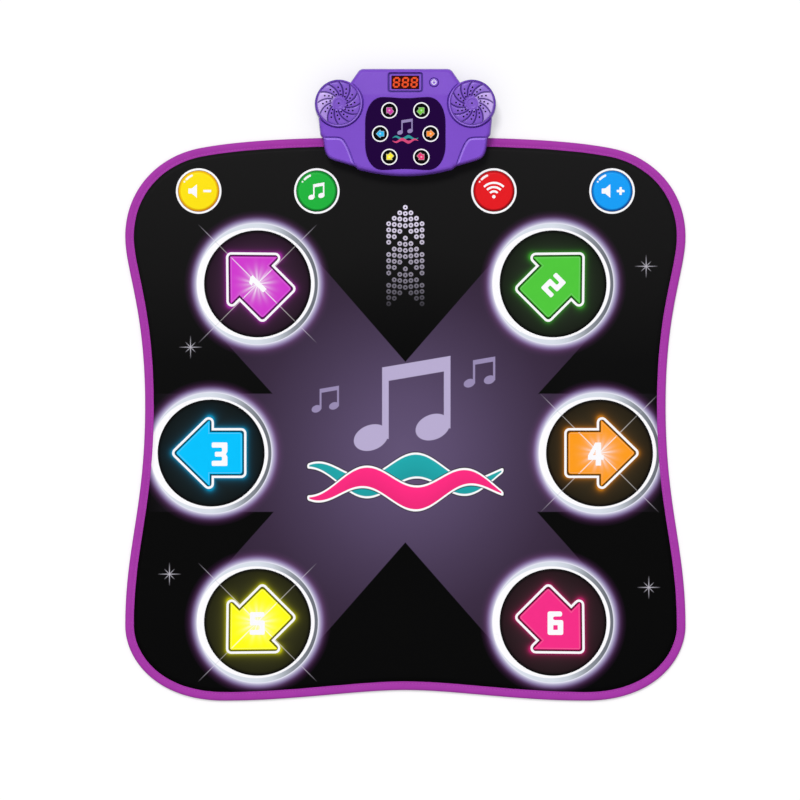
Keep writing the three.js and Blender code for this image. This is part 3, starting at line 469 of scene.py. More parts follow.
def lathe(profile, sides, x=0.0, y=0.0):
    """A profile of radius and height, from the bottom outwards and up, turned about +Z."""
    return stack([(circle(radius, sides, x, y), z) for radius, z in profile])


def flipped(shape):
    return shape[0], [tuple(reversed(face)) for face in shape[1]]


def joined(*shapes):
    points, faces = [], []
    for more, these in shapes:
        start = len(points)
        points += more
        faces += [tuple(start + index for index in face) for face in these]
    return points, faces


def inside(loop):
    """A test that says whether a place is inside the loop."""
    ends = list(zip(loop, loop[1:] + loop[:1]))
    left, right = min(p[0] for p in loop), max(p[0] for p in loop)
    near, far = min(p[1] for p in loop), max(p[1] for p in loop)

    def test(x, y):
        if not (left < x < right and near < y < far):
            return False
        odd = False
        for (ax, ay), (bx, by) in ends:
            if (ay > y) != (by > y) and x < (bx - ax) * (y - ay) / (by - ay) + ax:
                odd = not odd
        return odd

    return test


def slab(loops, pick, top, bottom, dots=()):
    """A closed sheet over the triangles between loops. The pick function gives each
    triangle's material number, or None to leave it out. Gives points, faces and numbers."""
    flat, edges = [], []
    for loop in loops:
        first = len(flat)
        flat += [Vector(point) for point in loop]
        edges += [(first + i, first + (i + 1) % len(loop)) for i in range(len(loop))]
    flat += [Vector(dot) for dot in dots]
    flat, _, triangles, *_ = delaunay_2d_cdt(flat, edges, [], 0, 1e-4)
    kept, spots = [], []
    for triangle in triangles:
        corners = [flat[index] for index in triangle]
        middle = sum(corners, Vector((0, 0))) / 3
        spot = pick(middle.x, middle.y)
        if spot is not None:
            kept.append(triangle)
            spots.append(spot)
    used = sorted({index for triangle in kept for index in triangle})
    number = {old: new for new, old in enumerate(used)}
    count = len(used)
    points = [(flat[i].x, flat[i].y, top(flat[i].x, flat[i].y)) for i in used]
    points += [(flat[i].x, flat[i].y, bottom(flat[i].x, flat[i].y)) for i in used]
    faces = [tuple(number[index] for index in triangle) for triangle in kept]
    owners = {}
    for face, spot in zip(faces, spots):
        for a, b in zip(face, face[1:] + face[:1]):
            owners[a, b] = spot
    under = [tuple(index + count for index in reversed(face)) for face in faces]
    rim = [edge for edge in owners if (edge[1], edge[0]) not in owners]
    walls = [(b, a, a + count, b + count) for a, b in rim]
    return points, faces + under + walls, spots * 2 + [owners[edge] for edge in rim]


def flat_at(z):
    return lambda x, y: z


def within(outer, holes):
    """A pick for slab that keeps what is inside the outer loop and outside the holes."""
    keep = inside(outer)
    leave = [inside(hole) for hole in holes]
    return lambda x, y: 0 if keep(x, y) and not any(test(x, y) for test in leave) else None


# Pieces


def add_object(name, data):
    made = bpy.data.objects.new(name, data)
    bpy.context.scene.collection.objects.link(made)
    return made


def solid(shape):
    """A working object in millimetres for joins and cuts."""
    mesh = bpy.data.meshes.new("solid")
    mesh.from_pydata(shape[0], [], shape[1])
    return add_object("solid", mesh)


def combine(target, tool, operation):
    """Joins, cuts or crosses the target with a tool, which is used up."""
    if not isinstance(tool, bpy.types.Object):
        tool = solid(tool)
    modifier = target.modifiers.new("combine", "BOOLEAN")
    modifier.operation = operation
    modifier.solver = "EXACT"
    modifier.object = tool
    graph = bpy.context.evaluated_depsgraph_get()
    mesh = bpy.data.meshes.new_from_object(target.evaluated_get(graph))
    target.modifiers.clear()
    target.data = mesh
    bpy.data.objects.remove(tool)


def cut(target, tool):
    combine(target, tool, "DIFFERENCE")


def join(target, tool):
    combine(target, tool, "UNION")


def release(piece, name, finish, replaces=(), body=MAT_BODY, crease=30.0):
    """Turns a working object into a piece in metres, shades it and hangs it on its body."""
    mesh = piece.data
    piece.name = name
    mesh.name = name
    mesh.transform(Matrix.Scale(MM, 4))
    for material in finish if isinstance(finish, list) else [finish]:
        mesh.materials.append(material)
    mesh.shade_smooth()
    mesh.set_sharp_from_angle(angle=math.radians(crease))
    piece.modifiers.new("even shading", "WEIGHTED_NORMAL").keep_sharp = True
    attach(piece, body)
    if replaces:
        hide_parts(*replaces)
    return piece


def add_piece(name, shape, slot, finish, replaces=(), body=MAT_BODY, crease=30.0):
    """Makes a piece of points and faces, and of the faces' material numbers if given."""
    piece = solid(shape)
    if len(shape) > 2:
        piece.data.polygons.foreach_set("material_index", shape[2])
    return release(piece, name, finish, replaces, body, crease)


def dress(name, material):
    """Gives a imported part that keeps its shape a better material."""
    mesh = nodes[name].data
    mesh.materials.clear()
    mesh.materials.append(material)


# Mat


class Track:
    """Places at even steps round the mat's edge, each with its inward direction."""

    def __init__(self, count):
        fine = self.trace(120)
        lengths = [0.0]
        for (first, _), (second, _) in zip(fine, fine[1:] + fine[:1]):
            lengths.append(lengths[-1] + (second - first).length)
        self.length = lengths[-1]
        self.places = []
        self.inward = []
        at = 0
        for step in range(count):
            target = self.length * step / count
            while lengths[at + 1] < target:
                at += 1
            share = (target - lengths[at]) / (lengths[at + 1] - lengths[at])
            following = (at + 1) % len(fine)
            self.places.append(fine[at][0].lerp(fine[following][0], share))
            self.inward.append(fine[at][1].lerp(fine[following][1], share).normalized())

    @staticmethod
    def trace(steps):
        """The mat's edge as places and inward ways, with smooth curves between its knots."""
        knots = []
        for across, along, heading, before, after in EDGE_SHARES:
            angle = math.radians(heading)
            place = Vector((across * MAT_WIDTH / 2, MAT_FRONT + along * MAT_LENGTH))
            way = Vector((math.cos(angle), math.sin(angle)))
            handles = (place - way * before * MAT_LENGTH, place + way * after * MAT_LENGTH)
            knots.append((place, *handles))
        half = []
        for (a, _, b), (d, c, _) in zip(knots, knots[1:]):
            for step in range(steps):
                t = step / steps
                s = 1 - t
                place = a * s**3 + b * 3 * s * s * t + c * 3 * s * t * t + d * t**3
                way = (b - a) * s * s + (c - b) * 2 * s * t + (d - c) * t * t
                half.append((place, Vector((-way.y, way.x)).normalized()))
        half.append((Vector((0, MAT_BACK)), Vector((0, -1))))
        left = [(Vector((-p.x, p.y)), Vector((-n.x, n.y))) for p, n in reversed(half[1:-1])]
        return half + left

    def loop(self, distance):
        pairs = zip(self.places, self.inward)
        return [tuple(place + inward * distance) for place, inward in pairs]


EDGE = Track(480)
FINE_EDGE = Track(2400)
EDGE_TREE = KDTree(len(FINE_EDGE.places))
for index, place in enumerate(FINE_EDGE.places):
    EDGE_TREE.insert((place.x, place.y, 0), index)
EDGE_TREE.balance()


def edge_distance(x, y):
    """How far a place is from the mat's edge, and how far round the edge."""
    _, index, distance = EDGE_TREE.find((x, y, 0))
    return distance, FINE_EDGE.length * index / len(FINE_EDGE.places)


def share_of(value, start, end):
    """How far a value is from the start to the end, held between 0 and 1."""
    return min(max((value - start) / (end - start), 0.0), 1.0)


def smooth_share(value, start, end):
    share = share_of(value, start, end)
    return share * share * (3 - 2 * share)


def cover_height(x, y):
    """The top of the printed cover: it dips under the sewn edge, draws up in small puckers
    beside it and lies in slow waves elsewhere."""
    distance, around = edge_distance(x, y)
    rise = smooth_share(distance, *COVER_RISE)
    wander = noise.noise(Vector((around / 31, 7.3, 0)))
    pucker = math.sin(around / 2.3 + 5 * wander) * (0.2 + 0.25 * abs(wander))
    pucker *= smooth_share(distance, 11.5, 14) * (1 - smooth_share(distance, 16, 32))
    wave = noise.noise(Vector((x / 85, y / 85, 1.7)))
    wave += 0.5 * noise.noise(Vector((x / 38, y / 38, 4.1)))
    near_hole = min(hole_distance(x, y), 30.0) / 30
    settled = smooth_share(distance, 16, 45) * near_hole
    return COVER_EDGE_TOP + (MAT_TOP - COVER_EDGE_TOP) * rise + pucker + 0.28 * wave * settled


# Each pad's side and place, its arrow's turn and shift, its ink and its ground's tint
PAD_ROWS = [
    (-1, CORNER_PAD, 135, 7.8, (207, 58, 205), (54, 33, 52)),
    (1, CORNER_PAD, 45, 7.8, (80, 198, 60), (35, 43, 32)),
    (-1, SIDE_PAD, 180, 3.0, (3, 193, 252), (22, 32, 34)),
    (1, SIDE_PAD, 0, 3.0, (251, 155, 28), (52, 44, 28)),
    (-1, NEAR_PAD, 225, 7.8, (254, 252, 20), (50, 50, 25)),
    (1, NEAR_PAD, 315, 7.8, (243, 46, 134), (50, 32, 38)),
]
STAR_PADS = (1, 4, 5)
# Each key's name and place across, its colour and its rim's
KEY_ROWS = [
    ("volume_down", -OUTER_KEY, (250, 224, 18), (222, 134, 14)),
    ("mode", -INNER_KEY, (31, 176, 61), (6, 84, 32)),
    ("wireless", INNER_KEY, (226, 25, 32), (118, 8, 14)),
    ("volume_up", OUTER_KEY, (20, 155, 243), (10, 64, 146)),
]


def hole_distance(x, y):
    """How far a place is from the nearest pad or key hole."""
    pads = [math.hypot(abs(x) - px, y - py) - PAD_HOLE for px, py in PAD_PLACES]
    keys = [math.hypot(abs(x) - kx, y - KEY_ROW) - KEY_HOLE for kx in (INNER_KEY, OUTER_KEY)]
    return max(min(pads + keys), 0.0)


def hole_loops():
    pads = [circle(PAD_HOLE, FACETS, side * middle[0], middle[1]) for side, middle, *_ in PAD_ROWS]
    return pads + [circle(KEY_HOLE, FACETS // 2, x, KEY_ROW) for _, x, *_ in KEY_ROWS]


def grid_dots(step, wall, clear):
    """A staggered grid inside the mat, clear of its rim and of the holes."""
    made = []
    rows = int(MAT_LENGTH / step)
    for row in range(rows):
        y = MAT_FRONT + (row + 0.5) * step
        for column in range(int(MAT_WIDTH / step)):
            x = -MAT_WIDTH / 2 + (column + 0.5 + (row % 2) / 2) * step
            if wall(x, y) and hole_distance(x, y) > clear:
                made.append((x, y))
    return made


def cover_material():
    """The mat's print: beams, ringed pads and keys, sparkles, a dotted arrow and a motif."""
    shader = Shader("cover_print", 0.46, 0.022)
    x, y, _ = shader.place()
    out = abs(x)
    left = x.under(0.0, 0.01)
    colour = print_beams(shader, out, y)
    colour = print_pads(shader, x, y, left, colour)
    keys = [hypot(out - key, y - KEY_ROW) for key in (INNER_KEY, OUTER_KEY)]
    colour = shader.mix(keys[0].low(keys[1]).under(KEY_RING_RADIUS, 0.4), colour, WHITE)
    colour = print_sparkles(shader, x, y, left, colour)
    colour = print_chevrons(shader, out, y, colour)
    colour = print_motif(shader, x, y, colour)
    gloss = shader.noise(30.0, 3.0).scale(0.12, 0.42)
    creases = (shader.noise(5.0, 2.0), 0.06, 0.5)
    return shader.finish(colour, gloss, creases, (shader.noise(0.7, 3.0), 0.03))


def print_beams(shader, out, y):
    """The crossed beams behind the pads, on a black ground that pales towards the box."""
    beams = (out * 1.15 + 32.2 - y).low(y + 220.6 + out * 1.14)
    upper = (y + 12.4).low(out * 1.1 - y - 217.0)
    lower = (-y - 177.8).low(y + out * 1.12 - 28.6)
    reach = hypot(out * 1.08, y + 95)
    beams = beams.low(-upper.high(lower)).under(0.0, -1.2) * reach.fade(325, 400)
    violet = shader.ramp(reach / 460, stops(
        (0.0, 97, 82, 116),
        (0.16, 89, 74, 106),
        (0.36, 71, 57, 83),
        (0.5, 58, 44, 66),
        (0.68, 46, 33, 51),
        (0.84, 30, 25, 32),
    ))
    ground = shader.ramp(y / 800 + 0.56, [
        (0.0, (0.0008, 0.0008, 0.0009)),
        (0.35, (0.0014, 0.0014, 0.0014)),
        (0.6, (0.0026, 0.0026, 0.0027)),
        (0.75, (0.0064, 0.0062, 0.0063)),
        (1.0, (0.0102, 0.0099, 0.0101)),
    ])
    ground = shader.mix(reach.fade(70, 290) * 0.9, ground, (0.0006, 0.0006, 0.0007))
    return shader.mix(beams, ground, violet)


def print_pads(shader, x, y, left, colour):
    """The glow, the white ring, its shaded rim and the rays of each pad."""
    ring_edge, rim_edge, glow = 85.2, 78.3, 18
    out = abs(x)
    sign = left.scale(-2.0, 1.0)
    near, rims, rays = [], [], []
    for (pad_x, pad_y), lit in zip(PAD_PLACES, (left, left.scale(-1.0, 1.0), left)):
        across = out - pad_x
        along = y - pad_y
        away = hypot(across, along)
        near.append(away)
        rims.append(hypot((across + sign * 2.9) * (rim_edge / 82.7), along))
        line = abs(across + along).low(abs(across - along)).under(0.75, 1.1)
        rays.append(line * away.fade(82, 118) * lit)
    away = reduce(Field.low, near)
    rim = reduce(Field.low, rims)
    ray = reduce(Field.high, rays)
    halo = shader.ramp(away.scale(1 / glow, -ring_edge / glow), stops(
        (0.0, 218, 217, 232),
        (0.08, 186, 182, 208),
        (0.18, 156, 146, 181),
        (0.28, 130, 113, 154),
        (0.36, 107, 87, 127),
        (0.44, 86, 62, 99),
        (0.52, 65, 41, 73),
        (0.62, 48, 24, 52),
        (0.76, 27, 10, 29),
        (1.0, 0, 0, 0),
    ))
    # The shaded rim is dark grey towards +X and paler towards its two ends
    facing = [(x - sign * pad[0]) / 82.0 * away.under(100.0, 0.1)
              for pad, away in zip(PAD_PLACES, near)]
    shade = shader.ramp(reduce(Field.__add__, facing), stops(
        (0.0, 214, 220, 230),
        (0.25, 200, 206, 216),
        (0.6, 140, 145, 153),
        (0.9, 108, 112, 120),
    ))
    colour = shader.mix(1.0, colour, halo, "SCREEN")
    colour = shader.mix(ray * 0.7, colour, linear(214, 206, 222))
    colour = shader.mix(away.under(ring_edge, 0.5), colour, linear(226, 226, 240))
    shaded = away.under(ring_edge - 0.8, 0.5) * rim.under(rim_edge, -1.0)
    colour = shader.mix(shaded, colour, shade)
    colour = shader.mix(rim.under(rim_edge, 1.0) * away.under(ring_edge, 0.5), colour, WHITE)
    return shader.mix(ray * away.under(84.4) * 0.35, colour, linear(176, 172, 190))


def print_sparkles(shader, x, y, left, colour):
    """One small eight-pointed sparkle in each quarter of the mat."""

    def nearest(far_left, near_left, far_right, near_right):
        """A coordinate of the sparkle in the same quarter of the mat."""
        far = y.under(-100.0, -0.01)
        on_left = far.scale(far_left - near_left, near_left)
        on_right = far.scale(far_right - near_right, near_right)
        return left * on_left + left.scale(-1.0, 1.0) * on_right

    across = abs(x - nearest(-300.9, -330.4, 337.3, 341.0))
    along = abs(y - nearest(52.8, -265.1, 166.1, -283.7))
    slant = (across + along) * 0.7071
    spread = abs(across - along) * 0.7071
    spikes = along.under(0.5, 0.9) * across.fade(2.5, 16.5)
    spikes = spikes.high(across.under(0.5, 0.9) * along.fade(2.5, 16.5))
    spikes = spikes.high(spread.under(0.4, 0.9) * slant.fade(5.0, 10.5) * 0.8)
    spikes = spikes.high(hypot(across, along).under(1.6, 2.4) * 0.8)
    return shader.mix(spikes * 0.85, colour, linear(214, 210, 222))


def print_chevrons(shader, out, y, colour):
    """Stacked chevrons of small rings that fade away from the box."""
    column_pitch, row_pitch, slope = 7.77, 8.62, 7.65
    column = (out / column_pitch).node("ROUND")
    drop = column.scale(-slope, 248.6) - y
    row = (drop / row_pitch).node("ROUND")
    dot = hypot(out - column * column_pitch, drop - row * row_pitch)
    ring = abs(dot - 2.2).under(1.1, 0.5)
    gap = (row / 5).node("FRACT").under(0.7, 0.05)
    shown = column.under(3.5, 0.1) * row.under(-0.5, -0.1) * row.under(14.5, 0.1) * gap
    fading = shader.ramp(y.fade(104, 250), stops(
        (0.0, 226, 218, 240),
        (0.3, 200, 192, 212),
        (0.55, 150, 144, 160),
        (0.85, 84, 81, 90),
        (1.0, 30, 29, 32),
    ))
    return shader.mix(ring * shown, colour, fading)


def ellipse(x, y, middle, radii, degrees):
    """Under 1 inside a tilted ellipse."""
    cos = math.cos(math.radians(degrees))
    sin = math.sin(math.radians(degrees))
    across = x - middle[0]
    along = y - middle[1]
    return hypot((across * cos + along * sin) / radii[0], (along * cos - across * sin) / radii[1])


def bar(x, y, middle, half_width, half_length):
    """Under 0 inside an upright bar."""
    return (abs(x - middle[0]) - half_width).high(abs(y - middle[1]) - half_length)


def beamed_notes(x, y, size=1.0, middle=(0.0, 0.0)):
    """Under 0 inside a pair of joined quavers, 150 mm wide at size 1."""
    across = (x - middle[0]) / size
    along = (y - middle[1]) / size
    heads = ellipse(across, along, (-48, -52), (27, 19), 22).low(
        ellipse(across, along, (46, -36), (27, 19), 22)
    )
    heads = (heads - 1) * 20
    stems = bar(across, along, (-26, 0), 5, 54).low(bar(across, along, (68, 16), 5, 54))
    slope = along - across * 0.17
    beam = (abs(slope - 49) - 11).high(abs(across - 21) - 52)
    return heads.low(stems).low(beam) * size


def print_motif(shader, x, y, colour):
    """Joined notes over two crossing ribbons, in the middle of the mat."""
    notes = beamed_notes(x, y, 0.92, (-4, -26))
    colour = shader.mix(notes.under(0.0, 0.8), colour, linear(182, 170, 206))
    small = beamed_notes(x, y, 0.3, (104, 18)).low(beamed_notes(x, y, 0.26, (-112, -20)))
    colour = shader.mix(small.under(0.0, 0.6), colour, linear(150, 137, 176))
    reach = 134
    width = (x * x).scale(-14.4 / reach**2, 15.0).high(0.6)
    ends = (abs(x) - reach).high(0.0)
    teal, rose = linear(30, 152, 156), linear(233, 40, 118)
    for phase, level, ink in ((0.9, -128.0, teal), (math.pi + 0.9, -144.0, rose)):
        line = y - x.scale(math.pi / 72, phase).node("SINE") * 15
        band = hypot((abs(line - level) - width).high(0.0), ends)
        sheen = shader.mix(line.scale(0.03, -level * 0.03 + 0.5), ink, scaled(ink, 1.25))
        colour = shader.mix(band.under(4.6, 1.0), colour, BLACK)
        colour = shader.mix(band.under(3.4, 1.0), colour, WHITE)
        colour = shader.mix(band.under(0.5, 0.8), colour, sheen)
    return colour


def add_mat():
    """The printed cover, the underside cloth, the foam core and the spacer sheet."""
    insets = (2.2, 9.5, 11.0, 12.0, 12.8, 13.6, 14.4, 15.3, 16.4, 18.4, 22.5)
    outlines = [EDGE.loop(distance) for distance in insets]
    holes = hole_loops()
    rings = [circle(PAD_HOLE + more, FACETS, side * middle[0], middle[1])
             for side, middle, *_ in PAD_ROWS for more in (0.7, 4.0)]
    sheet = slab(
        outlines + holes + rings,
        within(outlines[0], holes),
        cover_height,
        lambda x, y: cover_height(x, y) - COVER_THICK,
        grid_dots(13.0, inside(EDGE.loop(27)), 7.0),
    )
    cover = add_piece("printed_cover", sheet, "cover_print", cover_material(), ("top_cover",),
                      crease=50)

    box = box_footprint(BOX_GAP)
    edge = EDGE.loop(10.3)
    sheet = slab([edge] + box, within(edge, box), flat_at(CLOTH_TOP), flat_at(0.0))
    cloth = add_piece("underside_cloth", sheet, "base_cloth", cloth_material(), ("base_cloth",))

    levels = [(1.3, CLOTH_TOP), (1.3, FOAM_EDGE_TOP - 0.4), (1.7, FOAM_EDGE_TOP),
              (10.3, FOAM_EDGE_TOP), (12.5, FOAM_TOP)]
    core = solid(stack([(EDGE.loop(distance), z) for distance, z in levels]))
    for loop in box:
        cut(core, straight(loop, -5, 12))
    dark_foam = foam("core_foam", (0.045, 0.045, 0.055))
    release(core, "foam_core", dark_foam, ("cushion_foam",))

    edge = EDGE.loop(16.3)
    sheet = slab([edge] + holes, within(edge, holes), flat_at(SPACER_TOP - 0.05), flat_at(FILM_TOP))
    pale_foam = foam("sheet_foam", (0.68, 0.68, 0.7))
    spacer = add_piece("spacer_sheet", sheet, "spacer_foam", pale_foam, ("spacer_foam",))
    return cover, cloth, core, spacer


def cloth_material():
    """Black non-slip cloth, felted, with rows of small raised dots."""
    shader = Shader("non_slip_cloth", 0.9, 0.2)
    x, y, _ = shader.place()
    pitch = 7.0
    row = (y / pitch).node("FLOOR")
    stagger = (row * 0.5).node("FRACT")
    across = ((x / pitch + stagger).node("FRACT") - 0.5) * pitch
    along = ((y / pitch).node("FRACT") - 0.5) * pitch
    away = hypot(across, along)
    dots = away.under(1.35, 0.3)
    fibres = shader.noise(1.1, 4.0, (1, 0.35, 1))
    felt = shader.mix(fibres, (0.006, 0.006, 0.007), (0.026, 0.025, 0.028))
    face = shader.mix(dots, felt, (0.035, 0.034, 0.037))
    domes = away.scale(-1 / 1.5, 1.0, clamp=True).node("SQRT")
    return shader.finish(face, dots.scale(-0.35, 0.92), (fibres, 0.12), (domes, 0.5))


# The folded tape's section: distances in from the mat's edge, and heights
BINDING_PROFILE = [
    (10.0, 0.0), (6.0, 0.0), (2.4, 0.0), (1.2, 0.3), (0.45, 0.95), (0.05, 1.9), (0.0, 2.8),
    (0.15, 3.7), (0.6, 4.6), (1.5, 5.3), (3.0, 5.75), (5.0, 5.9), (7.2, 5.75), (8.6, 5.4),
    (9.5, 5.25), (10.4, 5.4), (11.4, 5.6), (12.0, 5.5), (TAPE_WIDTH, 5.2), (11.8, 4.75),
    (9.6, 4.52), (2.0, 4.5), (1.2, 4.0), (0.95, 2.8), (1.2, 1.3), (2.0, 0.9), (10.0, 0.9),
]
STITCH_LINE = 9.5
STITCH_PITCH = 4.4


def binding_height(distance, z, around):
    """Small gathers in the tape between its stitches, strongest at the stitch line."""
    if z < 3.0:
        return z
    pull = math.exp(-((distance - STITCH_LINE) / 2.2) ** 2)
    gather = math.cos(2 * math.pi * around / STITCH_PITCH)
    slow = noise.noise(Vector((around / 17, distance / 9, 2.2)))
    return z + 0.1 * gather * pull + 0.14 * slow


def add_binding():
    """The folded tape sewn round the edge, with its ends tucked into the box."""
    places, inwards = FINE_EDGE.places, FINE_EDGE.inward
    count = len(places)
    pitch = FINE_EDGE.length / count
    tucked = BOX_WIDTH / 2 * NOTCH_SHARE - 8
    hidden = [place.y > BOX_FRONT and abs(place.x) < tucked for place in places]
    first = hidden.index(True)
    stations = [(first + step) % count for step in range(count)]
    stations = [station for station in stations if not hidden[station]]
    loops = []
    for index in stations:
        around = index * pitch
        loop = []
        for distance, z in BINDING_PROFILE:
            wander = 0.22 * noise.noise(Vector((around / 24, z, 9.0))) if distance > 9 else 0.0
            flat = places[index] + inwards[index] * (distance + wander)
            loop.append((flat.x, flat.y, binding_height(distance, z, around)))
        loops.append(loop[::-1])
    tape = add_piece("binding_tape", loft(loops), "binding_tape", tape_material(),
                     ("edge_binding",), crease=60)
    lay_tape_map(tape.data, len(BINDING_PROFILE), pitch)
    stitches = []
    step = STITCH_PITCH / pitch
    for number in range(int(len(stations) / step)):
        index = stations[min(int((number + 0.5) * step), len(stations) - 2)]
        top = binding_height(STITCH_LINE, 5.25, index * pitch) + 0.05
        inward = inwards[index]
        stitches.append(stitch_shape(places[index] + inward * STITCH_LINE, inward, top))
    add_piece("binding_stitches", joined(*stitches), "binding_tape", thread_material(), crease=70)
    return tape


def lay_tape_map(mesh, around_count, pitch):
    """Coordinates along and across the tape, in metres, for its weave."""
    across = [0.0]
    for (d0, z0), (d1, z1) in zip(reversed(BINDING_PROFILE[1:]), reversed(BINDING_PROFILE[:-1])):
        across.append(across[-1] + math.hypot(d1 - d0, z1 - z0))
    layer = mesh.uv_layers.new(name="tape").data
    for face in mesh.polygons:
        wraps = {index % around_count for index in face.vertices} >= {0, around_count - 1}
        for corner in face.loop_indices:
            vertex = mesh.loops[corner].vertex_index
            side = vertex % around_count
            width = across[side] + (across[-1] + 0.9 if wraps and side == 0 else 0.0)
            layer[corner].uv = (vertex // around_count * pitch * MM, width * MM)


def stitch_shape(place, across, z):
    """One lockstitch: a short thread that dips at both ends."""
    along = Vector((across.y, -across.x))
    half = [(0.3, 0.36, 0), (0.8, 0.3, 0.1), (1, 0.12, 0.3)]
    loops = []
    for share, thick, drop in [(-share, *row) for share, *row in reversed(half)] + half:
        middle = place + along * (1.55 * share)
        loop = []
        for side in range(6):
            angle = math.pi * side / 3
            flat = middle + across * (thick * math.cos(angle))
            loop.append((flat.x, flat.y, z - drop + thick * math.sin(angle)))
        loops.append(loop)
    return loft(loops)


def tape_material():
    """Woven polyester tape: a fine over-and-under weave, with a dry sheen."""
    shader = Shader("woven_tape", 0.62, 0.2)
    shader.set("Sheen Weight", 0.15)
    shader.set("Sheen Roughness", 0.4)
    clouds = shader.noise(14.0, 3.0)
    shader.use_uv()
    u, v, _ = shader.place()
    warp = (u * (math.pi / 0.55)).node("SINE")
    weft = (v * (math.pi / 0.7) + warp * 0.6).node("SINE")
    weave = abs(warp) * 0.5 + abs(weft) * 0.5
    shade = shader.mix(clouds, scaled(BINDING_COLOUR, 0.9), scaled(BINDING_COLOUR, 1.08))
    face = shader.mix(weave.scale(0.55, 0.45), scaled(BINDING_COLOUR, 0.62), shade)
    return shader.finish(face, None, (weave, 0.08))


def thread_material():
    shader = Shader("binding_thread", 0.5, 0.3)
    twist = shader.noise(0.35, 2.0)
    face = shader.mix(twist, scaled(BINDING_COLOUR, 0.8), linear(196, 96, 194))
    return shader.finish(face, None, (twist, 0.08))


# Pads


ARROW_TIP = 46.6
ARROW_WING = 46.7
ARROW_TAIL = 29.15
PLATE_DEPTH = 0.78
POCKET_DEPTH = 0.8


def arrow_fill():
    """The arrow's coloured face about its own middle, with 45 degree slopes to its tip."""
    neck = ARROW_TIP - ARROW_WING - 1.0
    return [
        (-ARROW_TIP, -ARROW_TAIL), (neck, -ARROW_TAIL), (neck, -ARROW_WING), (ARROW_TIP, 0),
        (neck, ARROW_WING), (neck, ARROW_TAIL), (-ARROW_TIP, ARROW_TAIL),
    ]


def arrow_rings():
    """The arrow plate's outlines with the number of the ink inside each: the face's middle,
    a light line, the face's rim, the dark gap, the white line and the pad's own ink."""
    fill = arrow_fill()
    core = inset(fill, 1.6)
    return [
        (inset(fill, 2.0), 0),
        (inset(fill, 1.2), 1),
        (rounded(fill, [4.5, 0.3, 2.6, 3.2, 2.6, 0.3, 4.5]), 0),
        (grown(core, 4.1), 2),
        (grown(core, 7.4), 3),
        (grown(core, 8.4), 4),
    ]


# The plain block numerals, 33 mm high: each one's corner radius, outer loop and holes
NUMERALS = {
    1: (0.6, [(4.2, 16.5), (4.2, -16.5), (-4.0, -16.5), (-4.0, 7.6), (-9.5, 4.6), (-9.5, 11.2),
              (-1.6, 16.5)]),
    2: (2.4, [(-11, 16.5), (11, 16.5), (11, -3.6), (-3.6, -3.6), (-3.6, -9.3), (11, -9.3),
              (11, -16.5), (-11, -16.5), (-11, 3.6), (3.6, 3.6), (3.6, 9.3), (-11, 9.3)]),
    3: (2.0, [(-11, 16.5), (11, 16.5), (11, 3), (8.4, 0), (11, -3), (11, -16.5), (-11, -16.5),
              (-11, -9.2), (3.4, -9.2), (3.4, -3.4), (-6.6, -3.4), (-6.6, 3.4), (3.4, 3.4),
              (3.4, 9.2), (-11, 9.2)]),
    4: (0.6, [(-1.5, 16.5), (6.6, 16.5), (6.6, -1.6), (10.4, -1.6), (10.4, -8.2), (6.6, -8.2),
              (6.6, -16.5), (-1, -16.5), (-1, -8.2), (-12, -8.2), (-12, -2)],
        [(-1, 6), (-1, -1.6), (-4.8, -1.6)]),
    5: (2.4, [(-10.6, 16.5), (10.4, 16.5), (10.4, 9.3), (-3.2, 9.3), (-3.2, 4.4), (11, 4.4),
              (11, -16.5), (-11, -16.5), (-11, -9.3), (3.4, -9.3), (3.4, -2.6), (-10.6, -2.6)]),
    6: (3.2, [(-11, 16.5), (9.4, 16.5), (9.4, 9.4), (-3.2, 9.4), (-3.2, 4.4), (11, 4.4),
              (11, -16.5), (-11, -16.5)],
        [(-3, -2.8), (3.2, -2.8), (3.2, -9.4), (-3, -9.4)]),
}
# Each numeral's place about its pad's middle, its turn and its size
NUMERAL_PLACES = {
    1: (0.4, 0.0, 45, 0.84), 2: (0.5, -1.8, -45, 0.92), 3: (11.8, -1.6, 0, 1.0),
    4: (-4.4, -1.4, 0, 0.98), 5: (-0.5, -1.7, 0, 0.96), 6: (3.2, -1.3, 0, 1.0),
}


def decal(name, loops, finish, base, thick=0.12, slot="print_white", body=MAT_BODY):
    """A thin print laid at a surface's height, inside the first loop and outside the others."""
    shape = slab(
        loops,
        within(loops[0], loops[1:]),
        lambda x, y: base(x, y) + thick,
        lambda x, y: base(x, y) - 0.02,
    )
    return add_piece(name, shape, slot, finish, body=body)


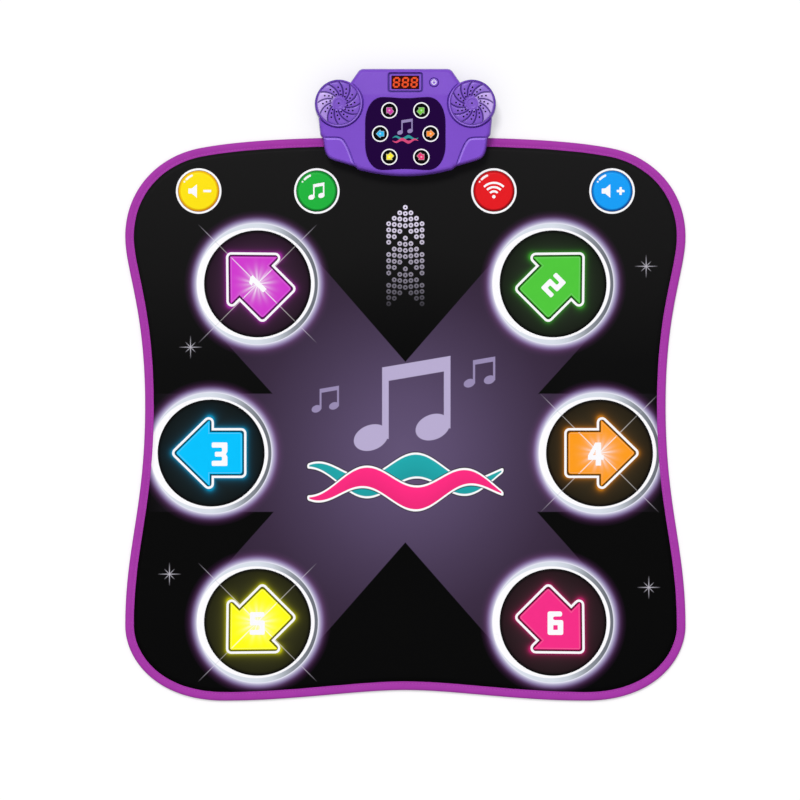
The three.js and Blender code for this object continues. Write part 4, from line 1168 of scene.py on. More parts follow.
def add_pads():
    """The six pads: a disc with a pocket, the arrow plate in it and a numeral."""
    white = printed("white_ink", WHITE)
    rings = arrow_rings()
    for number, (side, (pad_x, y), turn, shift, ink, tint) in enumerate(PAD_ROWS, 1):
        x = side * pad_x
        body = f"foot_pad_{number}"
        colour = linear(*ink)
        lit = number in STAR_PADS
        finish = [
            arrow_material(number, colour, x, y, lit),
            printed(f"arrow_light_{number}", tuple(part * 0.86 + 0.1 for part in colour)),
            printed(f"arrow_gap_{number}", scaled(colour, 0.13)),
            white,
            disc_material(number, colour, linear(*tint), x, y, turn, shift, lit),
        ]
        angle = math.radians(turn)
        middle = (x + shift * math.cos(angle), y + shift * math.sin(angle))
        loops = [moved(loop, *middle, turn) for loop, _ in rings]
        tests = [(inside(loop), spot) for loop, (_, spot) in zip(loops, rings)]

        def pick(px, py, tests=tests):
            return next((spot for test, spot in tests if test(px, py)), None)

        disc = solid(lathe([
            (PAD_RADIUS - 0.2, SPACER_TOP),
            (PAD_RADIUS, SPACER_TOP + 0.3),
            (PAD_RADIUS, MAT_TOP),
            (PAD_RADIUS - 0.35, MAT_TOP + 0.32),
            (PAD_RADIUS - 1.0, PAD_TOP - 0.08),
            (PAD_RADIUS - 1.8, PAD_TOP),
            (PAD_RADIUS - 8, PAD_TOP),
        ], 128, x, y))
        cut(disc, straight(loops[-1], PAD_TOP - POCKET_DEPTH, PAD_TOP + 3))
        release(disc, f"pad_disc_{number}", finish[-1], (f"pad_{number}",), body)
        plate = slab(loops, pick, flat_at(PAD_TOP), flat_at(PAD_TOP - PLATE_DEPTH))
        add_piece(f"arrow_plate_{number}", plate, f"window_{WINDOW_NAMES[number - 1]}", finish,
                  (f"pad_window_{number}",), body)
        radius, outer, *holes = NUMERALS[number]
        off_x, off_y, spin, size = NUMERAL_PLACES[number]
        numeral = [rounded(outer, radius, 4)] + [rounded(hole, 0.8, 3) for hole in holes]
        numeral = [moved(loop, x + off_x, y + off_y, spin, size) for loop in numeral]
        decal(f"numeral_{number}", numeral, white, flat_at(PAD_TOP), body=body)
        dress(f"pad_contact_{number}", CARBON)
        dress(f"pad_light_{number}", LAMP)


def star_light(x, y):
    """White light at a pad's middle with fine rays, strongest at 45 degrees."""
    away = hypot(x, y)
    turn = y.node("ARCTAN2", x)
    fine = (turn * 16).node("SINE").scale(0.5, 0.5) * (turn * 9).node("SINE").scale(0.35, 0.65)
    core = away.decay(4.0) * 0.55 + (away * away).decay(289.0) * fine.scale(0.74, 0.28)
    return core.clamped().high(crossed_rays(x, y))


def crossed_rays(x, y):
    """Two thin diagonal rays that fade away from the middle."""
    away = hypot(x, y)
    line = abs(x + y).low(abs(x - y)) + away * 0.006
    return line.under(1.05, 1.2) * away.fade(30, 122) * 0.78


def segment(u, v, start, end):
    """The distance from a point to a straight line between two places."""
    run, climb = end[0] - start[0], end[1] - start[1]
    square = run**2 + climb**2
    across = u - start[0]
    up = v - start[1]
    share = (across * (run / square) + up * (climb / square)).clamped()
    return hypot(across - share * run, up - share * climb)


def arrow_distance(shader, x, y, turn, shift):
    """How far a point of the disc is from the arrow's outline."""
    u, v, _ = shader.place((x, y, 0), turn)
    u, v = u - shift, abs(v)
    half = [(-ARROW_TIP, 0), *reversed(arrow_fill()[3:])]
    gaps = [segment(u, v, a, b) for a, b in zip(half, half[1:])]
    return reduce(Field.low, gaps)


def arrow_material(number, colour, x, y, lit):
    """The arrow's ink, with a white light over it on three of the pads."""
    shader = Shader(f"arrow_ink_{number}", 0.38, 0.03)
    across, along, _ = shader.place((x, y, 0))
    face = shader.mix(shader.noise(10.0, 3.0), scaled(colour, 0.95), scaled(colour, 1.02))
    if lit:
        face = shader.mix(star_light(across, along), face, WHITE)
    return shader.finish(face, None, (shader.noise(0.8, 3.0), 0.015))


def disc_material(number, colour, tint, x, y, turn, shift, lit):
    """The dark pad round its arrow, tinted by the arrow and black at its rim."""
    shader = Shader(f"pad_ink_{number}", 0.4, 0.03)
    across, along, _ = shader.place((x, y, 0))
    away = hypot(across, along)
    past = (arrow_distance(shader, x, y, turn, shift) - 5.4).high(0.0)
    shade = shader.mix(away.fade(74, 40), tint, scaled(tint, 0.42))
    shade = shader.mix(away.fade(73.5, 69.5) * 0.9, shade, (0.0012, 0.0012, 0.0013))
    glowing = (past.decay(1.9) * 0.75 + past.decay(6.0) * 0.1).clamped()
    shade = shader.mix(glowing, shade, scaled(colour, 0.55))
    if lit:
        shade = shader.mix(crossed_rays(across, along) * 0.85, shade, linear(232, 226, 224))
    gloss = shader.noise(24.0, 3.0).scale(0.1, 0.36)
    return shader.finish(shade, gloss, (shader.noise(0.8, 3.0), 0.015))


# Keys


def key_height(x, y, middle):
    """The height of a key's dome, which rolls off at its rim."""
    away = math.hypot(x - middle, y - KEY_ROW)
    share = min(away / KEY_RADIUS, 1.0)
    return MAT_TOP + 2.4 - 0.75 * share**2 - 1.65 * smooth_share(share, 0.86, 1.0)


def key_profile(middle):
    """Radii and heights up a key's side and over its dome."""
    rings = [(KEY_RADIUS - 1.2, SPACER_TOP), (KEY_RADIUS, SPACER_TOP + 0.2),
             (KEY_RADIUS, MAT_TOP - 0.4)]
    for share in (0.995, 0.985, 0.97, 0.95, 0.925, 0.9, 0.87, 0.8, 0.6, 0.4, 0.2, 0.05):
        radius = KEY_RADIUS * share
        rings.append((radius, key_height(middle + radius, KEY_ROW, middle)))
    return rings


def key_material(name, colour, rim, middle):
    """Domed key: a darker rim, and a printed highlight at its upper left."""
    shader = Shader(f"{name}_ink", 0.3, 0.06)
    x, y, _ = shader.place((middle, KEY_ROW, 0))
    away = hypot(x, y)
    turn = y.node("ARCTAN2", x) * (180 / math.pi)
    low_side = (y * 0.75 - x * 0.4).scale(-1 / 60, 0.6, clamp=True)
    edge = away.fade(27.8, 24.6)
    face = shader.mix(edge * low_side.scale(0.5, 0.5), colour, rim)
    face = shader.mix(abs(away - 24.2).under(0.35, 0.8) * 0.25, face, scaled(colour, 1.5))
    streak = hypot((abs(turn - 125) - 11).high(0.0) * 0.42, away - 23.6).under(1.5, 0.8)
    spot = hypot(x + 20.0, y - 13.0).under(1.2, 0.8)
    face = shader.mix(streak.high(spot) * 0.92, face, WHITE)
    return shader.finish(face, None, (shader.noise(1.4, 3.0), 0.01))


def key_symbol(name):
    """The white sign on each key, as groups of loops about its middle."""
    speaker = [(-14.5, -3.6), (-9.6, -3.6), (-2.4, -9.6), (-2.4, 9.6), (-9.6, 3.6), (-14.5, 3.6)]
    if name == "volume_down":
        return [[rounded(speaker, 0.8, 3)], [rounded(rectangle(5.5, 1.7, 12, 0), 0.8, 3)]]
    if name == "volume_up":
        plus = [(-5.5, -1.7), (-1.7, -1.7), (-1.7, -5.5), (1.7, -5.5), (1.7, -1.7), (5.5, -1.7),
                (5.5, 1.7), (1.7, 1.7), (1.7, 5.5), (-1.7, 5.5), (-1.7, 1.7), (-5.5, 1.7)]
        return [[rounded(speaker, 0.8, 3)], [rounded(moved(plus, 12, 0), 0.7, 3)]]
    if name == "mode":
        head = note_head(4.6, 3.5)
        stems = [(-5.2, -8.4), (-3.2, -8.4), (-3.2, 5.2), (8.6, 7.3), (8.6, -6), (10.6, -6),
                 (10.6, 12.2), (-5.2, 9.4)]
        return [[moved(head, -7.4, -8.6, 20)], [moved(head, 6.4, -6.2, 20)], [stems]]
    arcs = [fan(radius - 1.5, radius + 1.5, 45, 135, 0, -8) for radius in (7.5, 13.5, 19.5)]
    return [[circle(2.4, 24, 0, -8)]] + [[arc] for arc in arcs]


def note_head(half_width, half_length):
    return [(x * half_width, y * half_length) for x, y in circle(1, 24)]


def fan(inner, outer, start, end, x, y, steps=18):
    angles = [math.radians(start + (end - start) * step / steps) for step in range(steps + 1)]
    out = [(x + outer * math.cos(a), y + outer * math.sin(a)) for a in angles]
    back = [(x + inner * math.cos(a), y + inner * math.sin(a)) for a in reversed(angles)]
    return out + back


def add_keys():
    """The four domed keys with their white signs."""
    white = printed("key_ink", WHITE, 0.3)
    for (name, middle, ink, rim), slot in zip(KEY_ROWS, ("yellow", "green", "red", "blue")):

        def surface(x, y, middle=middle):
            return key_height(x, y, middle)

        dome = lathe(key_profile(middle), FACETS, middle, KEY_ROW)
        material = key_material(name, linear(*ink), linear(*rim), middle)
        add_piece(f"{name}_dome", dome, f"key_{slot}", material, (f"{name}_key",), name, crease=40)
        for index, loops in enumerate(key_symbol(name), 1):
            placed = [moved(loop, middle, KEY_ROW) for loop in loops]
            decal(f"{name}_sign_{index}", placed, white, surface, 0.1, body=name)


# Control box


# Half of the box's outline, as shares of its half width and its length
BOX_SHARES = [
    (0, 0), (0.173, 0.0073), (0.35, 0.0286), (0.526, 0.0637), (0.551, 0.091), (0.819, 0.1567),
    (0.87, 0.193), (NOTCH_SHARE, 0.253), (0.909, 0.359), (0.939, 0.382), (0.959, 0.558),
    (0.772, 0.691), (0.598, 0.88), (0.5, 1),
]
BOX_RADII = [20, 20, 20, 3.5, 3.5, 9, 9, 9, 3, 3, 4, 4, 9, 5]
LIP_CORNERS = 4
PANEL_SHARES = [
    (1.2, -0.1), (1.2, 0.368), (0.717, 0.368), (0.667, 0.335), (0.623, 0.266), (0.578, 0.165),
    (0.543, 0.08), (0.5, -0.1),
]
SCREW_PLACES = [(-106.0, 355.0), (106.0, 355.0), (-57.0, 433.0), (57.0, 433.0)]
SIDES = (("left", -1), ("right", 1))


def box_edge(distance, lip=0.0):
    """The box's outline without its pods, moved inwards, its near lip by more."""
    half = []
    for index, (across, along) in enumerate(BOX_SHARES):
        run = lip if index < LIP_CORNERS else 0.0
        half.append((across * BOX_WIDTH / 2, BOX_FRONT + along * BOX_LENGTH + run))
    return rounded(inset(mirrored(half), distance), BOX_RADII + BOX_RADII[:0:-1], 6)


def box_footprint(gap):
    pods = [circle(POD_RADIUS + gap, FACETS, side * POD_X, POD_Y) for side in (-1, 1)]
    return [box_edge(-gap)] + pods


CREASE_HALF = 2.5


def band_drop(y):
    """How far the top has sloped down towards the far edge, with a soft crease."""
    run = y - CREASE_Y
    if run < -CREASE_HALF:
        return 0.0
    if run < CREASE_HALF:
        run = (run + CREASE_HALF) ** 2 / (4 * CREASE_HALF)
    return run * math.tan(BAND_TILT)


def slope_band(skin, high):
    """A working object whose top, at this height, is split along the crease and lowered
    beyond it."""
    target = solid(skin)
    shape = bmesh.new()
    shape.from_mesh(target.data)
    for more in (-2.5, -1.5, -0.5, 0.5, 1.5, 2.5):
        parts = shape.verts[:] + shape.edges[:] + shape.faces[:]
        bmesh.ops.bisect_plane(
            shape, geom=parts, plane_co=(0, CREASE_Y + more, 0), plane_no=(0, 1, 0))
    for vertex in shape.verts:
        vertex.co.z -= band_drop(vertex.co.y) * share_of(vertex.co.z, BOX_PART, high)
    shape.to_mesh(target.data)
    shape.free()
    return target


def shell_levels():
    """Loops up the box's side and round its top edge."""
    radius, lean, lip, steps = 5.2, 1.1, 0.4, 8
    rows = [(box_edge(0.0), BOX_PART), (box_edge(0.1), BOX_PART + 1)]
    for step in range(steps + 1):
        angle = math.pi / 2 * step / steps
        run = lean + radius * (1 - math.cos(angle))
        rows.append((box_edge(run, lip), BOX_HEIGHT - radius + radius * math.sin(angle)))
    return rows


def pod_levels(side, rows, top_x, top_y):
    """A speaker pod or its hollow, which leans towards its top's place as it rises."""
    loops = []
    for radius, z in rows:
        lean = share_of(z, BOX_PART, 38.6)
        x = side * (POD_X + (top_x - POD_X) * lean)
        loops.append((circle(radius, FACETS, x, POD_Y + (top_y - POD_Y) * lean), z))
    return stack(loops)


def panel_loop(side, distance):
    points = [(side * a * BOX_WIDTH / 2, BOX_FRONT + b * BOX_LENGTH) for a, b in PANEL_SHARES]
    if side < 0:
        points.reverse()
    radii = [1, 1, 10, 14, 14, 14, 14, 1]
    return rounded(inset(points, distance), radii[::side])


def panel_cutter(side):
    """Everything above a corner panel's face and inside its groove."""
    rows = [(-0.2, ABOVE), (-0.7, 36.15), (0.1, 35.5), (0.35, 32.6), (1.4, 32.6), (1.5, 33.7),
            (2.1, 34.7), (3.1, 35.25), (4.2, 35.45), (5.4, 35.5)]
    return flipped(stack([(panel_loop(side, distance), z) for distance, z in rows]))


def lens_loop(distance):
    """The smoked lens's outline, moved inwards: waisted ends and full, curved corners."""
    side = LENS_HALF
    shoulder = side * 0.567
    length = LENS_FAR - LENS_NEAR
    low = LENS_NEAR + length * 0.349
    high = LENS_NEAR + length * 0.643
    pull = 0.58
    corner = shoulder + (side - shoulder) * pull

    def bend(a, b, c, d, steps=14):
        made = []
        for step in range(steps + 1):
            t = step / steps
            s = 1 - t
            shares = (s**3, 3 * s * s * t, 3 * s * t * t, t**3)
            made.append(tuple(
                sum(point[axis] * share for point, share in zip((a, b, c, d), shares))
                for axis in (0, 1)))
        return made

    waist = [(shoulder * share, 1.7 * (math.cos(math.pi * share) + 1) / 2)
             for share in (0, 0.25, 0.5, 0.75)]
    near = [(x, LENS_NEAR + rise) for x, rise in waist]
    near += bend((shoulder, LENS_NEAR), (corner, LENS_NEAR),
                 (side, low - (low - LENS_NEAR) * pull), (side, low))
    far = bend((side, high), (side, high + (LENS_FAR - high) * pull),
               (corner, LENS_FAR), (shoulder, LENS_FAR))
    far += [(x, LENS_FAR - rise) for x, rise in reversed(waist)]
    return inset(mirrored(near + far), distance)


def on_band(points):
    """Points of the sloped band's own frame, whose +Z is square to it, put on the box."""
    cos = math.cos(BAND_TILT)
    sin = math.sin(BAND_TILT)
    return [(x, CREASE_Y + y * cos + z * sin, BOX_HEIGHT - y * sin + z * cos) for x, y, z in points]


def band_loft(rows):
    """A skin on the band through loops given with their heights above it."""
    points, faces = stack(rows)
    return on_band(points), faces


def band_lathe(profile):
    """A profile of radius and height turned about the button's axis on the band."""
    return band_loft([(circle(radius, 48, *BUTTON_PLACE), z) for radius, z in profile])


def bezel_loop(half_width, half_length, corner):
    return rounded(rectangle(half_width, half_length, 0, BEZEL_Y), corner, 6)


def bezel_loft(rows):
    """A skin through rounded rectangles about the display, from half widths, half lengths,
    corner radii and heights."""
    return band_loft([(bezel_loop(*size), z) for *size, z in rows])


def add_front_shell():
    """The front shell: its pods, corner panels and seats, hollow, with four screw bosses."""
    body = slope_band(stack(shell_levels()), BOX_HEIGHT)
    cavity = slope_band(stack([
        (box_edge(2.5), BOX_PART - 5), (box_edge(2.5), BOX_PART),
        (box_edge(5.1, 1.5), 27.0), (box_edge(6.5, 1.5), 29.6),
    ]), 29.6)
    trough = [(34.0, 32.6), (34.5, 35.2), (35.3, 36.1), (35.3, ABOVE)]
    pod = [(34.3, BOX_PART), (33.3, 30.0), (33.0, 37.2), (32.85, 38.3), (32.5, 39.2),
           (32.0, 39.8), (31.4, 40.0)]
    hollow = [(31.8, BOX_PART - 5), (31.8, BOX_PART), (29.2, 35.6)]
    cut(body, joined(*[lathe(trough, FACETS, side * GRILLE_X, GRILLE_Y) for _, side in SIDES]))
    cut(body, joined(*[panel_cutter(side) for _, side in SIDES]))
    for _, side in SIDES:
        join(body, pod_levels(side, pod, GRILLE_X, GRILLE_Y))
    for _, side in SIDES:
        join(cavity, pod_levels(side, hollow, DRIVER_X, DRIVER_Y))
    cut(cavity, joined(*[straight(circle(4.0, 32, x, y), 8.7, 40) for x, y in SCREW_PLACES]))
    cut(body, cavity)
    cut(body, joined(*[grille_recess(side) for _, side in SIDES]))
    cut(body, stack([
        (lens_loop(4.0), 25), (lens_loop(4.0), LENS_SEAT), (lens_loop(0.0), LENS_SEAT),
        (lens_loop(0.0), 35.5), (lens_loop(-0.6), 36.1), (lens_loop(-0.6), ABOVE),
    ]))
    # The sunk frame round the display: a dished edge, a narrow groove, then its floor
    cut(body, flipped(bezel_loft([
        (25.2, 14.7, 5.0, 6.0), (25.2, 14.7, 5.0, 0.05), (24.6, 14.1, 4.4, -0.5),
        (24.5, 14.0, 4.3, -3.2), (22.4, 11.9, 2.5, -3.2), (22.1, 11.6, 2.2, -1.2),
        (20.6, 10.9, 1.8, -1.2),
    ])))
    cut(body, bezel_loft([
        (17.8, 8.0, 1, -12), (17.8, 8.0, 1, -3.0), (19.5, 9.7, 1, -3.0), (19.5, 9.7, 1, -1.2),
        (19.9, 10.1, 1.2, -0.9), (19.9, 10.1, 1.2, 2),
    ]))
    cut(body, band_lathe([
        (7.8, -14), (7.8, -2.6), (6.1, -2.6), (6.1, -0.7), (7.1, 0.05), (7.1, 4),
    ]))
    cut(body, joined(*[straight(circle(1.75, 24, x, y), 5, 19) for x, y in SCREW_PLACES]))
    body.data.materials.clear()
    release(body, "front_shell_moulding",
            [SHELL, SHELL_HIGHLIGHT, SHELL_PANEL, SHELL_GROOVE_SHADE], ("front_shell",), crease=32)
    paint_bevel_highlights_and_groove_shade(body.data)


def grille_recess(side):
    """The grille's seat in a pod, open to the speaker driver below."""
    wide = GRILLE_RADIUS + 0.45
    rows = [(wide, GRILLE_SEAT), (wide, 39.4), (GRILLE_RADIUS + 0.8, 39.85),
            (GRILLE_RADIUS + 1.3, 40.2), (GRILLE_RADIUS + 1.3, ABOVE)]
    throat = circle(26.5, FACETS, side * DRIVER_X, DRIVER_Y)
    seat = [(circle(radius, FACETS, side * GRILLE_X, GRILLE_Y), z) for radius, z in rows]
    return stack([(throat, 33.0), (throat, GRILLE_SEAT)] + seat)


def paint_rim_shade_and_highlight(shader, face):
    """Paints a highlight on the near inner side of each pod's rim and shade on its outer far side.
    """
    x, y, z = shader.place((0, GRILLE_Y, 0))
    across = abs(x) - GRILLE_X
    away = hypot(across, y)
    # Painted shade: the outer far side of the rim takes the deep purple
    outer = (across * 0.95 + y * 0.5).scale(1 / 16, -0.1, clamp=True)
    face = shader.mix(z.under(37.0, -0.6) * away.under(31.7, -0.4) * outer, face, GROOVE_SHADE_COLOUR)
    # Painted highlight: a paler line along the near inner side of the rim
    inner = (across * -1.0 - y * 0.8).scale(1 / 8, -1.0, clamp=True)
    return shader.mix(z.under(39.3, -0.3) * away.under(32.5, 0.3) * inner, face, HIGHLIGHT_COLOUR)


def paint_bevel_highlights_and_groove_shade(mesh):
    """Gives the corner panels' flat faces a paler purple, paints a highlight on their bevels and
    paints shade in the grooves round the display and the button.
    """
    highlight_number, panel_number, groove_shade_number = 1, 2, 3
    groove = inside(bezel_loop(25.0, 14.5, 4.8))
    land = inside(bezel_loop(22.05, 11.55, 2.2))
    panels = [inside(panel_loop(side, 1.3)) for _, side in SIDES]
    flats = [inside(panel_loop(side, 3.9)) for _, side in SIDES]
    for face in mesh.polygons:
        x, y, z = face.center / MM
        if z > 33 and any(test(x, y) for test in panels) and face.normal.z > 0.3:
            # Painted highlight: a panel's bevel faces take the highlight purple, its flat faces the
            # paler panel purple
            flat = any(test(x, y) for test in flats)
            face.material_index = panel_number if flat else highlight_number
        elif y > CREASE_Y and z > 26:
            along = (y - CREASE_Y) / math.cos(BAND_TILT)
            sunk = z - BOX_HEIGHT + (y - CREASE_Y) * math.tan(BAND_TILT)
            in_groove = groove(x, along) and not land(x, along)
            in_ring = math.hypot(x - BUTTON_PLACE[0], along - BUTTON_PLACE[1]) < 7.0
            # Painted shade: faces sunk into the display's groove or the button's ring take the deep
            # purple
            if -4 < sunk < -0.3 and (in_groove or in_ring):
                face.material_index = groove_shade_number


# Speaker grilles


def grille_dome(radius):
    """The height of a petal's crest above the grille's base."""
    return 1.5 + 0.9 * (1 - (radius / GRILLE_RADIUS) ** 2)


PETALS = 12
GROOVE_START = math.radians(79)
GROOVE_SWIRL = math.radians(47) / 29


def grille_angle(petal, radius, side):
    """Which way a groove lies, by its number and its distance from the hub."""
    angle = GROOVE_START + 2 * math.pi / PETALS * petal - GROOVE_SWIRL * radius
    return math.pi - angle if side < 0 else angle


def grille_shape(side):
    """Twelve swirled petals, each pillowed between two grooves, round a raised hub."""
    samples = [0.0, 0.03, 0.06, 0.1, 0.15, 0.24, 0.37, 0.5, 0.63, 0.76, 0.85, 0.9, 0.94, 0.97]
    base = GRILLE_SEAT + 0.3
    rim = GRILLE_RADIUS

    def ring(radius, z, groove=0.0, pillow=0.0):
        loop = []
        for petal in range(PETALS):
            for sample in samples:
                angle = grille_angle(petal + sample, radius, side)
                across = min(sample, 1 - sample) * math.pi / 6 * radius
                dip = groove * (1 - smooth_share(across, 0.45, 1.5))
                rise = pillow * (1 - abs(2 * sample - 1) ** 2.4)
                x = GRILLE_X * side + radius * math.cos(angle)
                loop.append((x, GRILLE_Y + radius * math.sin(angle), z - dip + rise))
        return loop[::side]

    loops = [ring(rim, base), ring(rim, base + 1.1)]
    for radius in (rim - 0.25, rim - 0.8, rim - 1.5, rim - 2.6, 26.0, 23.5, 20.5, 17.5, 14.5,
                   12.2, 10.8, 9.8, 9.2):
        edge = smooth_share(radius, rim, rim - 2.2)
        start = smooth_share(radius, 9.2, 10.8)
        finish = smooth_share(radius, rim - 0.2, rim - 1.8)
        height = base + grille_dome(radius) - 0.5 * (1 - edge)
        loops.append(ring(radius, height, 1.35 * start * finish, 0.6 * edge * start))
    for radius, rise in ((8.6, -0.2), (8.2, 0.2), (7.6, 0.45), (6.9, 0.48), (6.3, 0.25),
                         (5.9, -0.2), (5.2, -0.35), (3.2, -0.2), (1.6, 0.0)):
        loops.append(ring(radius, base + 2.5 + rise))
    return loft(loops)


def add_grilles():
    """The two grilles, drilled at the hub and in three rings."""
    for label, side in SIDES:
        places = [(0, 0)]
        for radius in (12.4, 17.2, 22.2):
            for petal in range(PETALS):
                angle = grille_angle(petal + 0.5, radius, side)
                places.append((radius * math.cos(angle), radius * math.sin(angle)))
        grille = solid(grille_shape(side))
        cut(grille, joined(*[
            straight(circle(1.25, 20, side * GRILLE_X + x, GRILLE_Y + y), 30, ABOVE)
            for x, y in places]))
        release(grille, f"grille_{label}", grille_material(label, side),
                (f"speaker_grille_{label}",), crease=38)
        dress(f"speaker_driver_{label}", DRIVER)


def grille_material(label, side):
    """Purple moulding with a painted highlight on its outer petals and painted shade in its
    grooves.
    """
    shader = Shader(f"grille_{label}", 0.32, 0.35)
    x, y, z = shader.place((side * GRILLE_X, GRILLE_Y, GRILLE_SEAT + 0.3))
    x = x * side
    away = hypot(x, y)
    turn = y.node("ARCTAN2", x) + away * GROOVE_SWIRL - GROOVE_START
    petal = (turn * (PETALS / (2 * math.pi))).node("FLOOR")
    facing = ((petal + 0.5) * (2 * math.pi / PETALS) + math.radians(35)).node("COSINE")
    off_hub = away.under(8.8, -0.4)
    # Painted highlight: the petals facing outwards are a paler lilac
    light = facing.scale(2.6, -1.45, clamp=True) * off_hub * away.scale(0.024, 0.32, clamp=True)
    mid = shader.mix(shader.noise(18.0, 3.0), linear(114, 70, 188), linear(127, 84, 199))
    mid = shader.mix(light, mid, linear(196, 170, 236))
    # Painted shade: darker the further a point lies below the dome's crest, so deepest in the
    # grooves
    crest = (away * away).scale(-0.9 / GRILLE_RADIUS**2, 2.4)
    deep = (crest - z).scale(1 / 0.8, -0.1, clamp=True) * off_hub
    face = shader.mix(deep * 0.85, mid, linear(54, 24, 112))
    gloss = shader.noise(6.0, 3.0).scale(0.12, 0.27)
    return shader.finish(face, gloss, (shader.noise(0.9, 3.0), 0.015))


# Lens, display and button


# Each lamp's place, its arrow's turn and its colour
LAMP_PLACES = [
    (-22.4, 384.0, 135, (202, 48, 160)), (22.4, 384.0, 45, (110, 196, 50)),
    (-35.3, 351.3, 180, (20, 178, 232)), (35.3, 351.3, 0, (250, 140, 24)),
    (-22.4, 318.9, 225, (246, 232, 30)), (22.4, 318.9, 315, (226, 40, 110)),
]
RING_OUTER = 11.4
RING_INNER = 9.7


def add_lens():
    """The smoked lens and its six printed lamps, each an arrow in a white ring."""
    lens = stack([
        (lens_loop(0.3), LENS_SEAT + 0.3), (lens_loop(0.3), LENS_TOP - 0.5),
        (lens_loop(0.5), LENS_TOP - 0.15), (lens_loop(0.9), LENS_TOP),
    ])
    add_piece("smoked_lens", lens, "lens_smoke", LENS, ("indicator_lens",), crease=40)
    top = flat_at(LENS_TOP)
    white = printed("lens_ink", WHITE, 0.25)
    black = printed("lens_black", (0.001, 0.001, 0.001), 0.2, 0.03)
    for number, (x, y, turn, ink) in enumerate(LAMP_PLACES, 1):
        colour = linear(*ink)
        ring, ground = [circle(radius, 64, x, y) for radius in (RING_OUTER, RING_INNER)]
        arrow = moved(arrow_fill(), x, y, turn, 0.108)
        grey = printed(f"lamp_edge_{number}", tuple(0.35 * part + 0.3 for part in colour), 0.3)
        lit = lamp_material(number, colour, x, y)
        decal(f"lamp_ring_{number}", [ring, ground], white, top, 0.05)
        decal(f"lamp_ground_{number}", [ground], black, top, 0.03, "lens_smoke")
        decal(f"lamp_edge_{number}", [grown(arrow, 0.75, 4), arrow], grey, top, 0.07)
        decal(f"lamp_arrow_{number}", [arrow], lit, top, 0.09,
              f"window_{WINDOW_NAMES[number - 1]}")
    add_lens_motif(top)


def add_lens_motif(top):
    """A small version of the mat's notes and ribbons between the lamps."""
    middle = 352.0
    lilac = printed("lens_lilac", linear(150, 136, 182), 0.3)
    teal = printed("lens_teal", linear(52, 150, 152), 0.3)
    rose = printed("lens_rose", linear(214, 74, 122), 0.3)
    head = note_head(4.0, 2.9)
    stems = [(-4.6, 1.4), (-2.8, 1.4), (-2.8, 14.4), (9.4, 16.4), (9.4, 3.6), (11.2, 3.6),
             (11.2, 20.6), (-4.6, 18.2)]
    parts = [moved(head, -7.4, middle + 1.0, 20), moved(head, 6.6, middle + 3.2, 20),
             moved(stems, -1.0, middle)]
    for index, loop in enumerate(parts, 1):
        decal(f"lens_note_{index}", [loop], lilac, top, 0.04 + 0.01 * index)
    for index, (ink, level, phase) in enumerate(((teal, -6.5, 0.0), (rose, -10.5, math.pi)), 1):
        upper, lower = [], []
        for step in range(33):
            x = -18 + 36 * step / 32
            half = 2.1 * (1 - (x / 19) ** 2) + 0.15
            y = middle + level + 1.9 * math.sin(math.pi * x / 9 + phase)
            upper.append((x, y + half))
            lower.append((x, y - half))
        decal(f"lens_ribbon_{index}", [lower + upper[::-1]], ink, top, 0.05 + 0.02 * index)


def lamp_material(number, colour, x, y):
    """A faintly lit arrow with a paler spot at its middle."""
    shader = Shader(f"lamp_ink_{number}", 0.3, 0.2)
    across, along, _ = shader.place((x, y, 0))
    light = hypot(across, along).under(1.0, 1.6)
    face = shader.mix(light * 0.8, colour, tuple(part * 0.4 + 0.6 for part in colour))
    shader.glow(face, 0.05)
    return shader.finish(face, None, (shader.noise(1.0, 2.0), 0.01))


# A digit's seven segments, each from one corner of its two squares to another
SEGMENTS = [
    ((0, 1), (1, 1)), ((0, 0), (1, 0)), ((0, -1), (1, -1)), ((0, 1), (0, 0)),
    ((1, 1), (1, 0)), ((0, 0), (0, -1)), ((1, 0), (1, -1)),
]


def digit_segments(x, y):
    """Seven six-sided bars of a digit with its middle at x, y, leaning a little."""
    width, height, half, gap, slant = 7.4, 6.3, 1.35, 0.25, 0.09
    loops = []
    for start, end in SEGMENTS:
        first = Vector(((start[0] - 0.5) * width, start[1] * height))
        last = Vector(((end[0] - 0.5) * width, end[1] * height))
        along = (last - first).normalized()
        across = Vector((-along.y, along.x)) * half
        a = first + along * gap
        b = last - along * gap
        taper = along * half
        loop = [a, a + taper - across, b - taper - across, b, b - taper + across,
                a + taper + across]
        loops.append([(x + p.x + slant * p.y, y + p.y) for p in loop])
    return loops


def band_print(name, loops, bottom, top, *facts):
    """Thin prints on the band, all in one piece."""
    points, faces = joined(*[straight(loop, bottom, top) for loop in loops])
    add_piece(name, (on_band(points), faces), *facts)


def add_display():
    """The display's pane and its three lit digits."""
    pane = bezel_loft([(19.2, 9.4, 1.0, -2.7), (19.2, 9.4, 1.0, -1.35), (18.95, 9.15, 0.9, -1.1)])
    add_piece("display_pane", pane, "display_smoke", PANE, ("display_window",), crease=40)
    lit = Shader("digit_light", 0.3, 0.06)
    lit.set("Base Color", lit.mix(lit.noise(2.0, 2.0), linear(208, 54, 14), linear(226, 82, 26)))
    lit.glow(linear(240, 74, 22), 0.14)
    bars = [bar for column in (-1, 0, 1) for bar in digit_segments(column * 12.4, BEZEL_Y)]
    band_print("display_digits", bars, -1.15, -1.04, "digit_red", lit.material)


